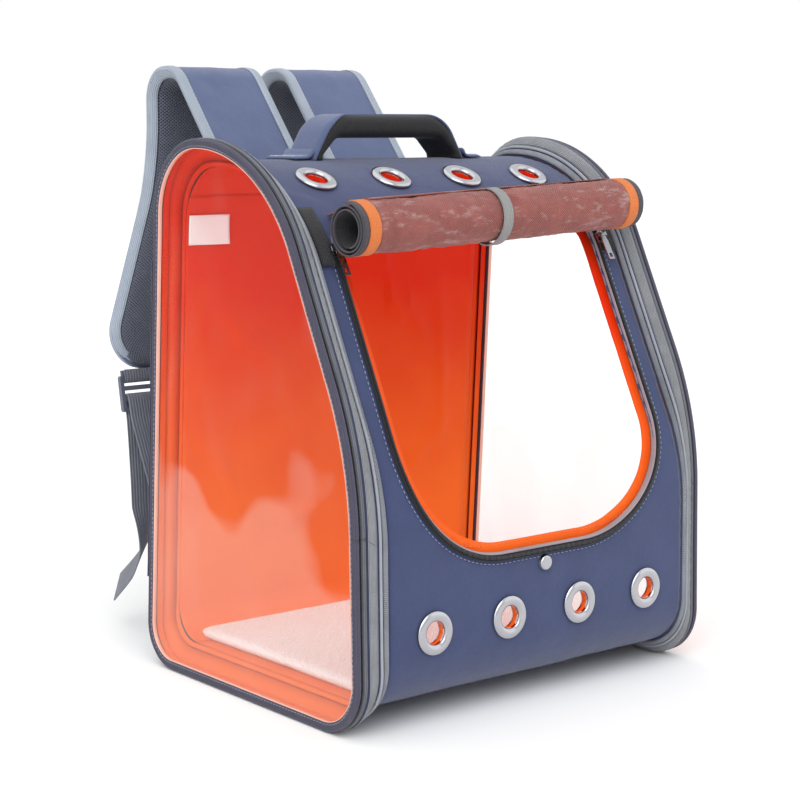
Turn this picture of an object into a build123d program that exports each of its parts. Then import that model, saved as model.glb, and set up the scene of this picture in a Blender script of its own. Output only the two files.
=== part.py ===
from build123d import *
import math
import os

# Soft-sided bird travel carrier, worn as a backpack.
# All sizes are in millimetres. X runs across the carrier, Y from its front to its back
# and Z up. Heights are measured from the floor and depths from the front foot of the
# side hoops until the last section, where everything moves to the row's origin.

# ---------------------------------------------------------------- driving dimensions

# Side hoops: the stiff rims that shape the carrier and stand on the floor
hoop_height = 351.0
hoop_foot_front = -26.0
hoop_foot_back = 208.0
hoop_back_lean = 21.0
hoop_crown = 66.0
hoop_nose = -22.5
hoop_nose_height = 168.0
hoop_radius_foot_front = 35.0
hoop_radius_foot_back = 28.0
hoop_radius_top = 50.0
hoop_radius_crown = 115.0
hoop_radius_nose = 218.0

# Wrap: the fabric body between the hoops
wrap_half_width = 125.0
wrap_base_lift = 11.0
wrap_top_drop = 13.5
wrap_back_step = 4.0
wrap_foot_front = -28.6
wrap_crown = 68.0
wrap_nose = -27.0
wrap_nose_height = 142.0
wrap_radius_foot_front = 36.0
wrap_radius_foot_back = 25.0
wrap_radius_top = 43.0
wrap_radius_crown = 113.0
wrap_radius_nose = 139.0

# Layers of the wrap, from outside in
wrap_wall = 3.4
lining_wall = 0.8
layer_gap = 0.2
base_cloth = 1.2
base_seam_margin = 2.0
back_seam_drop = 22.0

# Gusset between the wrap and each hoop
gusset_width = 12.5
gusset_wall = 2.0
braid_start = 0.5
braid_width = 3.0
braid_height = 1.5
piping_start = 4.1
piping_width = 1.6
piping_height = 2.0
tape_start = 6.5
tape_width = 5.5
tape_height = 0.8

# Hoop rim, its spring-steel strip and the side zips
rim_width = 3.5
rim_depth = 4.6
strip_width = 2.2
strip_thickness = 1.0
strip_clearance = 0.1
teeth_width = 1.1
teeth_depth = 2.0
teeth_inset = 0.6
zip_gap = 0.3

# Side doors
binding_width = 3.2
binding_depth = 6.0
binding_clearance = 0.4
sheet_thickness = 0.9
sheet_seat = 1.7
sheet_clearance = 0.05
hinge_low = 60.0
hinge_drop = 63.0
hinge_tape_wall = 0.6
hinge_tape_drop = 38.0

# Front window
window_half_width = 108.0
window_bottom = 99.0
window_drop = 37.5
window_corner = 75.0
window_top_corner = 14.0
window_flap = 7.0
window_edge_wall = 1.2
window_tape_width = 4.0
window_tape_wall = 0.8
window_teeth_width = 2.6
window_teeth_height = 1.4
window_seam_gap = 0.3
garage_width = 16.0
garage_height = 34.0
garage_rise = 8.5

# Rolled curtain that closes the window when it is let down
roll_radius = 17.0
roll_core = 10.6
roll_turns = 2.5
roll_layer = 1.5
roll_overhang = 11.5
roll_reach_left = 34.5
roll_reach_right = 37.5
roll_drop_left = 2.5
roll_rise_right = 7.0
roll_tape_width = 5.0
roll_binding_width = 9.0
hem_wall = 1.2
hem_margin = 4.0
hem_rise = 4.0
tie_width = 8.0
tie_wall = 1.2
tie_place = -4.0
tie_slack = 0.5
tie_rise = 14.0

# Ventilation eyelets and the snap stud
eyelet_radius = 13.5
eyelet_bore = 7.0
eyelet_barrel = 7.8
eyelet_height = 2.4
eyelet_lip = 0.6
eyelet_spacing = 60.0
eyelet_count = 4
eyelet_low = 59.0
eyelet_tilt = 27.0
washer_radius = 12.0
washer_wall = 0.8
washer_drop = 0.7
eyelet_clearance = 0.3
stud_radius = 5.2
stud_height = 2.6
stud_slope = 0.8
stud_round = 1.6
stud_drop = 10.0

# Grab handle
handle_front = 124.0
handle_width = 32.0
handle_foot_half = 64.0
handle_top_half = 48.0
handle_rise = 28.0
handle_grip = 15.0
handle_leg = 8.5
handle_bury = 40.0
handle_flare_radius = 60.0
handle_top_radius = 24.0
handle_inner_radius = 9.0
handle_foot_radius = 5.0
handle_foot_rise = 2.0
handle_cover_wall = 1.6
handle_foot_flap = 16.0

# Shoulder straps
strap_inner_edge = 11.5
strap_width = 70.5
strap_end_inner = 84.0
strap_end_width = 57.0
strap_wall = 8.0
strap_mesh_wall = 1.4
strap_trim_width = 6.5
strap_trim_wall = 1.0
strap_mesh_inset = 1.5
strap_sewn_drop = 53.5
strap_sewn_height = 24.0
strap_rise = 48.0
strap_reach = 54.0
strap_crest_span = 36.0
strap_bend_drop = 64.0
strap_turn_drop = 69.0
strap_end_reach = 64.0
strap_end_height = 190.0
strap_seam_radius = 25.0
strap_crest_radius = 22.0
strap_hang_radius = 200.0
strap_sway_radius = 160.0
strap_end_corner = 24.0
patch_wall = 1.2
patch_margin = 4.0
patch_height = 16.0

# Webbing and ladder-lock adjusters
webbing_width = 25.0
webbing_wall = 1.4
webbing_inset = 13.0
lock_width = 31.0
lock_wall = 3.6
lock_bar = 3.2
lock_slot = 4.2
lock_gap = 4.0
lock_clearance = 0.3
lock_corner = 2.0
anchor_low = 30.0
anchor_height = 16.0
anchor_patch_height = 10.0
anchor_radius = 12.0
webbing_run_in = 16.0
webbing_rise_radius = 40.0
webbing_fall_radius = 60.0
tail_hang = 95.0
tail_reach = 50.0

# Back pad, floor mat and care label
pad_wall = 8.0
pad_half_width = 88.0
pad_low = 56.0
pad_drop = 65.5
pad_corner = 18.0
pad_round = 4.8
mat_wall = 7.5
mat_side_gap = 4.0
mat_front_gap = 8.0
mat_back_gap = 13.0
board_wall = 1.8
label_inset = 17.0
label_width = 32.0
label_drop = 56.5
label_height = 21.0
label_wall = 0.4

# Zip sliders and pull tabs
slider_width = 7.0
slider_length = 9.0
slider_wall = 1.4
slider_pin_place = 1.0
slider_corner = 1.8
slider_guide = 3.0
slider_pin_height = 3.2
slider_pin_radius = 0.6
slider_pin_clearance = 0.08
slider_ear_wall = 0.9
slider_ear_length = 3.2
slider_ear_rise = 0.4
slider_ear_clearance = 0.2
pull_width = 5.0
pull_length = 19.0
pull_wall = 1.0
pull_barrel = 1.4
pull_barrel_width = 4.0
pull_neck = 4.4
pull_slot_width = 2.4
pull_slot_length = 3.0
side_pull_tilt = 7.0
window_slider_drop = 16.0
side_slider_drop = 8.0

far = 600.0


# ---------------------------------------------------------------- outline helpers

def direction(start, end):
    length = math.hypot(end[0] - start[0], end[1] - start[1])
    return (end[0] - start[0]) / length, (end[1] - start[1]) / length


def shifted(corners, distance, closed=True):
    """Move every side of an outline to its left and keep its arcs concentric."""
    moved = []
    last = len(corners) - 1
    for i, (a, b, radius) in enumerate(corners):
        after = direction(corners[i], corners[(i + 1) % len(corners)])
        before = direction(corners[i - 1], corners[i])
        if not closed and i == 0:
            before = after
        if not closed and i == last:
            after = before
        turn = before[0] * after[1] - before[1] * after[0]
        along = before[0] * after[0] + before[1] * after[1]
        reach = distance / (1 + along)
        if radius > 0:
            radius = max(radius - distance if turn > 0 else radius + distance, 0.3)
        moved.append((
            a - reach * (before[1] + after[1]),
            b + reach * (before[0] + after[0]),
            radius,
        ))
    return moved


def half_turn(corners, i):
    """Half the angle through which an outline turns at a corner."""
    before = direction(corners[i - 1], corners[i])
    after = direction(corners[i], corners[(i + 1) % len(corners)])
    return math.acos(min(1.0, before[0] * after[0] + before[1] * after[1])) / 2


def fitted_radii(corners):
    """Corner radii, made smaller where two arcs would overlap on one side."""
    count = len(corners)
    setbacks = [corners[i][2] * math.tan(half_turn(corners, i)) for i in range(count)]
    radii = [corner[2] for corner in corners]
    for i in range(count):
        following = (i + 1) % count
        side = math.dist(corners[i][:2], corners[following][:2])
        needed = setbacks[i] + setbacks[following]
        if needed > 0.99 * side:
            for end in (i, following):
                radii[end] = min(radii[end], corners[end][2] * 0.99 * side / needed)
    return radii


def outline(corners, plane):
    """Closed face of straight sides and corner arcs in the given plane."""
    rounds = []
    radii = fitted_radii(corners)
    for i, (a, b, unused) in enumerate(corners):
        radius = radii[i]
        before = direction(corners[i - 1], corners[i])
        after = direction(corners[i], corners[(i + 1) % len(corners)])
        turn = half_turn(corners, i)
        setback = radius * math.tan(turn)
        middle = radius / math.cos(turn) - radius
        inward = (after[0] - before[0], after[1] - before[1])
        size = math.hypot(*inward)
        rounds.append((
            (a - before[0] * setback, b - before[1] * setback),
            (a + inward[0] / size * middle, b + inward[1] / size * middle),
            (a + after[0] * setback, b + after[1] * setback),
        ))
    edges = []
    for i, (start, middle, end) in enumerate(rounds):
        edges.append(Line(rounds[i - 1][2], start))
        if corners[i][2] > 0:
            edges.append(ThreePointArc(start, middle, end))
    return plane * make_face(edges)


def band_corners(path, low, high):
    """Outline of the strip that lies from low to high to the left of an open path."""
    near = shifted(path, low, closed=False)
    away = shifted(path, high, closed=False)
    return near + away[::-1]


def slab(corners, x_start, x_end):
    face = outline(corners, Plane.YZ.offset(x_start))
    return extrude(face, amount=x_end - x_start)


def ring(corners, outer, inner, x_start, x_end):
    """Closed band between two insets of a side outline."""
    return slab(shifted(corners, outer), x_start, x_end) - slab(shifted(corners, inner), x_start, x_end)


def block(x_start, x_end, y_start, y_end, z_start, z_end):
    size = (x_end - x_start, y_end - y_start, z_end - z_start)
    centre = ((x_start + x_end) / 2, (y_start + y_end) / 2, (z_start + z_end) / 2)
    return Pos(*centre) * Box(*size)


def prism_y(corners, y_start, y_end):
    """Solid whose front view is the (x, z) outline."""
    face = outline(corners, Plane.XZ.offset(-y_start))
    return extrude(face, amount=-(y_end - y_start))


def both_sides(shape):
    return {"left": shape, "right": mirror(shape, about=Plane.YZ)}


# ---------------------------------------------------------------- shared outlines

hoop = [
    (hoop_foot_front, 0.0, hoop_radius_foot_front),
    (hoop_foot_back, 0.0, hoop_radius_foot_back),
    (hoop_foot_back - hoop_back_lean, hoop_height, hoop_radius_top),
    (hoop_crown, hoop_height, hoop_radius_crown),
    (hoop_nose, hoop_nose_height, hoop_radius_nose),
]
wrap_top = hoop_height - wrap_top_drop
wrap_back = hoop_foot_back - wrap_back_step
wrap_back_top = wrap_back - hoop_back_lean * (wrap_top - wrap_base_lift) / hoop_height
window_top = wrap_top - window_drop
hinge_high = hoop_height - hinge_drop
wrap = [
    (wrap_foot_front, wrap_base_lift, wrap_radius_foot_front),
    (wrap_back, wrap_base_lift, wrap_radius_foot_back),
    (wrap_back_top, wrap_top, wrap_radius_top),
    (wrap_crown, wrap_top, wrap_radius_crown),
    (wrap_nose, wrap_nose_height, wrap_radius_nose),
]
crown_radius = fitted_radii(wrap)[3]
window = [
    (-window_half_width, window_bottom, window_corner),
    (window_half_width, window_bottom, window_corner),
    (window_half_width, window_top, window_top_corner),
    (-window_half_width, window_top, window_top_corner),
]
lining_outer = wrap_wall + layer_gap
lining_inner = lining_outer + lining_wall
rim_start = wrap_half_width + gusset_width
rim_end = rim_start + rim_width
teeth_end = rim_end + teeth_width
door_start = teeth_end + zip_gap
door_end = door_start + binding_width
sheet_start = (door_start + door_end - sheet_thickness) / 2
hinge_x = (rim_end + door_start) / 2


def back_y(height):
    """Depth of the wrap's outer face at a height on the leaning back."""
    share = (height - wrap_base_lift) / (wrap_top - wrap_base_lift)
    return wrap_back + (wrap_back_top - wrap_back) * share


def hoop_back_y(height):
    return hoop_foot_back - hoop_back_lean * height / hoop_height


def window_front(inset, y_end):
    """Solid through the front with the window's outline, grown by a negative inset."""
    return prism_y(shifted(window, inset), -far / 2, y_end)


def front_shell(low, high, x_reach):
    """Skin over the wrap's outer face, from low to high above it."""
    return ring(wrap, -high, -low, -x_reach, x_reach)


def wrap_zone(part):
    """Block that selects the base or the back of a ring around the cabin."""
    if part == "base":
        start = wrap_foot_front + wrap_radius_foot_front + base_seam_margin
        end = wrap_back - wrap_radius_foot_back - base_seam_margin
        return block(-far, far, start, end, -far, 3 * wrap_base_lift)
    middle = (wrap_crown + wrap_back_top) / 2
    return block(-far, far, middle, far, -far, wrap_top - back_seam_drop)


def wrap_layer(outer, inner, part):
    """One layer of the body, cut at its seams into front and top, back or base."""
    layer = ring(wrap, outer, inner, -wrap_half_width, wrap_half_width)
    if part == "base":
        return layer & wrap_zone("base")
    layer = layer - wrap_zone("base")
    if part == "back":
        return layer & wrap_zone("back")
    return layer - wrap_zone("back")


def on_wrap_side(start_corner, share, lift=0.0):
    """Point on a straight side of the wrap, with the side's direction and outward normal."""
    start = wrap[start_corner]
    end = wrap[(start_corner + 1) % len(wrap)]
    along = direction(start, end)
    normal = (along[1], -along[0])
    y = start[0] + (end[0] - start[0]) * share + normal[0] * lift
    z = start[1] + (end[1] - start[1]) * share + normal[1] * lift
    return y, z, normal


def crown_centre():
    """Centre of the arc that turns the wrap's top down to its front."""
    y, z, radius = shifted(wrap, crown_radius)[3]
    return y, z


# ---------------------------------------------------------------- body of the carrier

def eyelet_places():
    """Planes on the wrap's face at each eyelet, their Z pointing outwards."""
    front_y, front_z, front_normal = on_wrap_side(
        4, (wrap_nose_height - eyelet_low) / (wrap_nose_height - wrap_base_lift))
    centre_y, centre_z = crown_centre()
    tilt = math.radians(eyelet_tilt)
    crown_normal = (-math.sin(tilt), math.cos(tilt))
    crown_y = centre_y + crown_radius * crown_normal[0]
    crown_z = centre_z + crown_radius * crown_normal[1]
    rows = {"lower": (front_y, front_z, front_normal), "upper": (crown_y, crown_z, crown_normal)}
    places = {}
    for row, (y, z, normal) in rows.items():
        places[row] = []
        for i in range(eyelet_count):
            x = (i - (eyelet_count - 1) / 2) * eyelet_spacing
            places[row].append(Plane(origin=(x, y, z), x_dir=(1, 0, 0), z_dir=(0, *normal)))
    return places


def eyelet():
    """Rolled metal eyelet: a domed flange outside and a barrel through the layers."""
    barrel_end = -(lining_inner + washer_drop + washer_wall + layer_gap)
    flange = (eyelet_radius, layer_gap)
    crest = ((eyelet_bore + eyelet_radius) / 2, eyelet_height)
    lip = (eyelet_bore, layer_gap + eyelet_lip)
    walls = Polyline(
        lip,
        (eyelet_bore, barrel_end),
        (eyelet_barrel, barrel_end),
        (eyelet_barrel, layer_gap),
        flange,
    )
    dome = ThreePointArc(flange, crest, lip)
    return revolve(Plane.XZ * make_face(walls.edges() + [dome]), Axis.Z)


def eyelet_washer():
    """Flat ring behind the lining, clear of its curve."""
    depth = -(lining_inner + washer_drop)
    outer = Pos(0, 0, depth - washer_wall / 2) * Cylinder(washer_radius, washer_wall)
    return outer - Pos(0, 0, depth) * Cylinder(eyelet_barrel + layer_gap, 4 * washer_wall)


def eyelet_holes():
    holes = []
    for row in eyelet_places().values():
        for place in row:
            holes.append(place * Cylinder(eyelet_barrel + eyelet_clearance, 6 * lining_inner))
    return holes


def make_front_top_panel():
    panel = wrap_layer(0.0, wrap_wall, "front") - window_front(0.0, hoop_crown)
    return panel - eyelet_holes()


def make_front_top_lining():
    lining = wrap_layer(lining_outer, lining_inner, "front")
    return lining - window_front(window_flap, hoop_crown) - eyelet_holes()


def make_base_board():
    board = wrap_layer(base_cloth + layer_gap, base_cloth + layer_gap + board_wall, "base")
    return board


def gusset_section(share, inset):
    """Side outline at a share of the way from the wrap's edge to the hoop."""
    corners = []
    for near, away in zip(wrap, hoop):
        corners.append(tuple(a + (b - a) * share for a, b in zip(near, away)))
    plane = Plane.YZ.offset(-(wrap_half_width + gusset_width * share))
    return outline(shifted(corners, inset), plane)


def gusset_band(start, end, outer, inner):
    """Sloping closed band on the left gusset, between two insets at each of its edges."""
    outside = loft([gusset_section(start, outer[0]), gusset_section(end, outer[1])], ruled=True)
    inside = loft([gusset_section(start, inner[0]), gusset_section(end, inner[1])], ruled=True)
    return outside - inside


def raised_band(start, width, height):
    """Band raised on the gusset, starting at a distance outside the wrap's edge."""
    foot = -layer_gap
    top = -layer_gap - height
    cover = gusset_band(0.0, 1.0, (top, top), (foot, foot))
    x_end = -wrap_half_width - start
    return cover & block(x_end - width, x_end, -far, far, -far, far)


def make_rim():
    """Hoop rim with the tunnel that holds its spring-steel strip."""
    rim = ring(hoop, 0.0, rim_depth, -rim_end, -rim_start)
    return rim - frame_strip(strip_clearance)


def frame_strip(growth):
    middle = (rim_start + rim_end) / 2
    half = strip_width / 2 + growth
    outer = (rim_depth - strip_thickness) / 2 - growth
    inner = (rim_depth + strip_thickness) / 2 + growth
    return ring(hoop, outer, inner, -middle - half, -middle + half)


def hinge_zone():
    """Block around the straight back edge, where the side zip does not run."""
    return block(-far, far, hoop_crown, far, hinge_low, hinge_high)


def make_body_teeth():
    teeth = ring(hoop, teeth_inset, teeth_inset + teeth_depth, -teeth_end, -rim_end)
    return teeth - hinge_zone()


def make_hinge_tape():
    tape = ring(hoop, -hinge_tape_wall - layer_gap / 2, -layer_gap / 2, -rim_end, -rim_start)
    return tape & block(-far, far, hoop_crown, far, hinge_low, hinge_high - hinge_tape_drop)


# ---------------------------------------------------------------- side doors

def make_door_sheet():
    sheet = shifted(hoop, binding_clearance + sheet_seat)
    return slab(sheet, -sheet_start - sheet_thickness, -sheet_start)


def make_door_binding():
    """Folded edge binding with a groove for the clear sheet."""
    inner = binding_clearance + binding_depth
    binding = ring(hoop, binding_clearance, inner, -door_end, -door_start)
    groove = slab(
        shifted(hoop, binding_clearance + sheet_seat - sheet_clearance),
        -sheet_start - sheet_thickness - sheet_clearance,
        -sheet_start + sheet_clearance,
    )
    return binding - groove


def make_door_teeth():
    outer = teeth_inset + teeth_depth + zip_gap
    teeth = ring(hoop, outer, outer + teeth_depth, -door_start, -rim_end - zip_gap)
    return teeth - hinge_zone()


# ---------------------------------------------------------------- front window

def window_frame(inner, outer, low, high):
    """Strip around the window on the front, between two distances outside its edge."""
    skin = front_shell(low, high, wrap_half_width)
    strip = skin & (window_front(-outer, hoop_crown) - window_front(-inner, hoop_crown))
    return strip & block(-far, far, -far, hoop_crown, 0, window_top - window_top_corner)


def make_window_edge():
    """Binding folded over the cut edge of the opening."""
    skin = ring(wrap, -window_edge_wall, wrap_wall, -wrap_half_width, wrap_half_width)
    edge = window_front(layer_gap, hoop_crown) - window_front(layer_gap + window_edge_wall, hoop_crown)
    return skin & edge


def make_zip_garage():
    """Dark patch where the left end of the window zip is sewn in."""
    start = window_half_width + layer_gap
    top = window_top + garage_rise
    low = layer_gap + window_tape_wall + layer_gap
    return front_shell(low, low + window_tape_wall, wrap_half_width) & block(
        -start - garage_width, -start - window_tape_width, -far, hoop_crown,
        top - garage_height, top)


# ---------------------------------------------------------------- rolled curtain

def front_point(height, lift):
    """Point on the crown arc of the wrap at a height, lifted off its face."""
    centre_y, centre_z = crown_centre()
    reach = crown_radius + lift
    rise = height - centre_z
    return centre_y - math.sqrt(reach ** 2 - rise ** 2), height


roll_half_length = window_half_width + roll_overhang
roll_height_left = window_top - roll_drop_left
roll_height_right = window_top + roll_rise_right
roll_depth_left = front_point(roll_height_left, 0.0)[0] - roll_reach_left
roll_depth_right = front_point(roll_height_right, 0.0)[0] - roll_reach_right
roll_left = (-roll_half_length, roll_depth_left, roll_height_left)
roll_right = (roll_half_length, roll_depth_right, roll_height_right)


def roll_plane(x):
    """Plane across the roll at x, its Z along the roll."""
    share = (x + roll_half_length) / (2 * roll_half_length)
    origin = [a + (b - a) * share for a, b in zip(roll_left, roll_right)]
    along = Vector(*roll_right) - Vector(*roll_left)
    return Plane(origin=origin, x_dir=(0, 1, 0), z_dir=along)


def roll_face():
    """Section of the wound sheet: half circles that step outwards by half the pitch."""
    half_turns = int(round(2 * roll_turns))
    step = (roll_radius - roll_core - roll_layer) / half_turns
    edges = []
    for side in (0.0, roll_layer):
        radius = roll_core + side
        centre = 0.0
        points = [centre + radius]
        line = []
        for i in range(half_turns):
            sign = 1 if i % 2 == 0 else -1
            radius = roll_core + side + step * (i + 0.5)
            start = points[-1]
            end = start - sign * 2 * radius
            middle = ((start + end) / 2, sign * radius)
            line.append(ThreePointArc((start, 0), middle, (end, 0)))
            points.append(end)
        edges.append((line, points))
    caps = [
        Line((edges[0][1][0], 0), (edges[1][1][0], 0)),
        Line((edges[0][1][-1], 0), (edges[1][1][-1], 0)),
    ]
    return make_face(edges[0][0] + edges[1][0] + caps)


def roll_piece(x_start, x_end):
    plane = roll_plane(x_start)
    length = (roll_plane(x_end).origin - plane.origin).length
    return extrude(plane * roll_face(), amount=length)


def roll_ends(inner, outer):
    return [roll_piece(-outer, -inner), roll_piece(inner, outer)]


def roll_centre(x):
    """Depth and height of the roll's axis at x."""
    share = (x + roll_half_length) / (2 * roll_half_length)
    return [a + (b - a) * share for a, b in zip(roll_left[1:], roll_right[1:])]


def tangent_strip(x, wall, reach, anchor_height):
    """Corners of a flat strip in the plane x, from a circle of the roll up to the front."""
    centre = roll_centre(x)
    anchor = front_point(anchor_height, layer_gap)
    gap = (anchor[0] - centre[0], anchor[1] - centre[1])
    angle = math.atan2(gap[1], gap[0]) + math.acos(reach / math.hypot(*gap))
    touch = (centre[0] + reach * math.cos(angle), centre[1] + reach * math.sin(angle))
    lift = (wall * math.cos(angle), wall * math.sin(angle))
    return [
        (touch[0], touch[1], 0.0),
        (anchor[0], anchor[1], 0.0),
        (anchor[0] + lift[0], anchor[1] + lift[1], 0.0),
        (touch[0] + lift[0], touch[1] + lift[1], 0.0),
    ]


def make_curtain_hem():
    """Unrolled top of the curtain, from the seam above the window to the roll."""
    ends = []
    half_width = window_half_width - hem_margin
    for x in (-half_width, half_width):
        corners = tangent_strip(x, hem_wall, roll_radius + layer_gap, window_top + hem_rise)
        ends.append(outline(corners, Plane.YZ.offset(x)))
    return loft(ends, ruled=True)


def make_curtain_tie():
    """Webbing tie sewn above the window, over the roll, round it and up behind it."""
    reach = roll_radius + layer_gap + hem_wall + tie_slack
    plane = roll_plane(tie_place)
    loop = plane * Cylinder(reach + tie_wall, tie_width) - plane * Cylinder(reach, 2 * tie_width)
    corners = tangent_strip(tie_place, tie_wall, reach, window_top + tie_rise)
    along = direction(corners[0], corners[1])
    centre = Plane(origin=(tie_place, *roll_centre(tie_place)), x_dir=(0, *along), z_dir=(1, 0, 0))
    open_part = centre * (Pos(far / 2, far / 2, 0) * Box(far, far, far))
    face = outline(corners, Plane.YZ.offset(tie_place - tie_width / 2))
    return (loop - open_part) + extrude(face, amount=tie_width)


# ---------------------------------------------------------------- handle

def handle_arch(growth):
    """Front view of the handle's upper face, from its left foot to its right foot."""
    top = wrap_top + handle_rise
    corners = [
        (-handle_foot_half, wrap_top - handle_bury, 0.0),
        (-handle_foot_half, wrap_top, handle_flare_radius),
        (-handle_top_half, top, handle_top_radius),
        (handle_top_half, top, handle_top_radius),
        (handle_foot_half, wrap_top, handle_flare_radius),
        (handle_foot_half, wrap_top - handle_bury, 0.0),
    ]
    return shifted(corners, growth, closed=False)


def handle_underside():
    """Front view of the handle's lower face, from its left foot to its right foot."""
    foot_half = handle_foot_half - handle_leg
    top_half = handle_top_half - handle_leg / 2
    underside = wrap_top + handle_rise - handle_grip
    return [
        (-foot_half, wrap_top - handle_bury, 0.0),
        (-foot_half, wrap_top + handle_foot_rise, handle_foot_radius),
        (-top_half, underside, handle_inner_radius),
        (top_half, underside, handle_inner_radius),
        (foot_half, wrap_top + handle_foot_rise, handle_foot_radius),
        (foot_half, wrap_top - handle_bury, 0.0),
    ]


def wrap_body(gap):
    """The wrap's whole inside and skin, grown by gap."""
    return slab(shifted(wrap, -gap), -far / 2, far / 2)


def make_handle_grip():
    corners = handle_arch(0.0)[::-1] + handle_underside()
    grip = prism_y(corners, handle_front, handle_front + handle_width)
    return grip - wrap_body(layer_gap)


def make_handle_cover():
    """Cloth over the grip, turned out at both feet and sewn to the top."""
    inside = handle_arch(layer_gap)
    outside = handle_arch(layer_gap + handle_cover_wall)
    cover = prism_y(outside[::-1] + inside, handle_front, handle_front + handle_width)
    start = handle_foot_half + layer_gap
    flaps = front_shell(layer_gap, layer_gap + handle_cover_wall, start + handle_foot_flap)
    flaps = flaps & block(-far, far, handle_front, handle_front + handle_width, 0, far)
    flaps = flaps & block(-far, far, -far, far, hoop_nose_height, far)
    flaps = flaps - block(-start, start, -far, far, -far, far)
    return cover - wrap_body(layer_gap) + flaps


# ---------------------------------------------------------------- shoulder straps

strap_sewn_low = wrap_top - strap_sewn_drop
strap_sewn_high = strap_sewn_low + strap_sewn_height
strap_crest = hoop_height + strap_rise
strap_crest_front = hoop_foot_back + strap_reach
strap_crest_back = strap_crest_front + strap_crest_span
strap_end_depth = hoop_foot_back + strap_end_reach


def strap_path():
    """Side view of a strap's top face, from its seam up over the crest and down."""
    seat = 2 * layer_gap + strap_trim_wall
    return [
        (back_y(strap_sewn_low) + seat, strap_sewn_low, 0.0),
        (back_y(strap_sewn_high) + seat, strap_sewn_high, strap_seam_radius),
        (strap_crest_front, strap_crest, strap_crest_radius),
        (strap_crest_back, strap_crest, strap_crest_radius),
        (strap_crest_back, strap_crest - strap_bend_drop, strap_hang_radius),
        (strap_end_depth, strap_end_height, 0.0),
    ]


def strap_plan(inset):
    """Front view of the hanging part of the left strap."""
    outer_edge = strap_inner_edge + strap_width
    turn_height = strap_crest - strap_turn_drop
    corners = [
        (-outer_edge, far, 0.0),
        (-outer_edge, turn_height, strap_sway_radius),
        (-strap_end_inner - strap_end_width, strap_end_height, strap_end_corner),
        (-strap_end_inner, strap_end_height, strap_end_corner),
        (-strap_inner_edge, turn_height, strap_sway_radius),
        (-strap_inner_edge, far, 0.0),
    ]
    return shifted(corners, inset)


def strap_cutter(inset):
    """Everything within the left strap's edges, inset from them."""
    middle = min(strap_crest_front, strap_end_depth - 2 * strap_wall)
    edge = strap_inner_edge + inset
    rising = block(-edge - strap_width + 2 * inset, -edge, 0, middle, 0, far)
    return rising + prism_y(strap_plan(inset), middle, far)


def strap_layer(low, high):
    """Slice of the strap between two depths under its top face."""
    face = outline(band_corners(strap_path(), -low, -high), Plane.YZ.offset(-far / 2))
    return extrude(face, amount=far / 2)


def make_strap_pad():
    return strap_layer(0.0, strap_wall) & strap_cutter(0.0)


def make_strap_mesh():
    low = strap_wall + layer_gap / 2
    return strap_layer(low, low + strap_mesh_wall) & strap_cutter(strap_mesh_inset)


def make_strap_trim():
    layer = strap_layer(-layer_gap / 2 - strap_trim_wall, -layer_gap / 2)
    trim = layer & strap_cutter(0.0)
    end = block(-far, far, 0, far, 0, strap_end_height + strap_trim_wall)
    return trim - strap_cutter(strap_trim_width) - end


def strap_end_frame():
    """Point, direction and outward normal at the lower end of the strap's middle."""
    path = strap_path()
    along = direction(path[-2], path[-1])
    normal = (-along[1], along[0])
    y = path[-1][0] - normal[0] * strap_wall / 2
    z = path[-1][1] - normal[1] * strap_wall / 2
    return (y, z), along, normal


webbing_place = wrap_half_width - webbing_inset


def lock_point(down, out):
    """Point in the adjuster's own frame: down along the strap and out from the back."""
    (y, z), along, normal = strap_end_frame()
    reach = lock_gap + down
    return y + along[0] * reach + normal[0] * out, z + along[1] * reach + normal[1] * out


def make_ladder_lock():
    """Moulded adjuster: four bars across a frame, with three slots between them."""
    length = 4 * lock_bar + 3 * lock_slot
    plate = Pos(0, -length / 2, 0) * Box(lock_width, length, lock_wall)
    plate = fillet(plate.edges().filter_by(Axis.Z), lock_corner)
    for i in range(3):
        middle = -(lock_bar + lock_slot / 2 + i * (lock_bar + lock_slot))
        plate = plate - Pos(0, middle, 0) * Box(webbing_width + 2 * lock_clearance, lock_slot, 2 * lock_wall)
    return lock_facing() * plate


def lock_facing():
    """Plane with X across, Y up along the strap and Z out from the back."""
    y, z = lock_point(0.0, 0.0)
    point, along, normal = strap_end_frame()
    return Plane(origin=(-webbing_place, y, z), x_dir=(-1, 0, 0), z_dir=(0, *normal))


def webbing_strip(path, low, high):
    face = outline(band_corners(path, low, high), Plane.YZ.offset(-webbing_place - webbing_width / 2))
    return extrude(face, amount=webbing_width)


def turn_round(down, inner_radius):
    """Half loop of webbing over a bar whose centre is down along the adjuster."""
    y, z = lock_point(down, 0.0)
    plane = Plane(origin=(-webbing_place, y, z), x_dir=(0, 1, 0), z_dir=(1, 0, 0))
    tube = Cylinder(inner_radius + webbing_wall, webbing_width) - Cylinder(inner_radius, 2 * webbing_width)
    return plane * tube


def above_line(down):
    """Half space on the strap's side of a line across the adjuster."""
    facing = lock_facing()
    return facing * (Pos(0, far / 2 - down, 0) * Box(far, far, far))


def make_lock_loop():
    """Short webbing loop that hangs the adjuster from the strap's end."""
    inner = lock_wall / 2 + lock_clearance
    centre = lock_bar / 2 + webbing_wall / 2
    loop = turn_round(centre, inner) - above_line(centre)
    facing = lock_facing()
    length = lock_gap + centre - layer_gap
    for side in (-1, 1):
        leg = Pos(0, length / 2 - centre, side * (inner + webbing_wall / 2))
        loop = loop + facing * (leg * Box(webbing_width, length, webbing_wall))
    return loop


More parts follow.
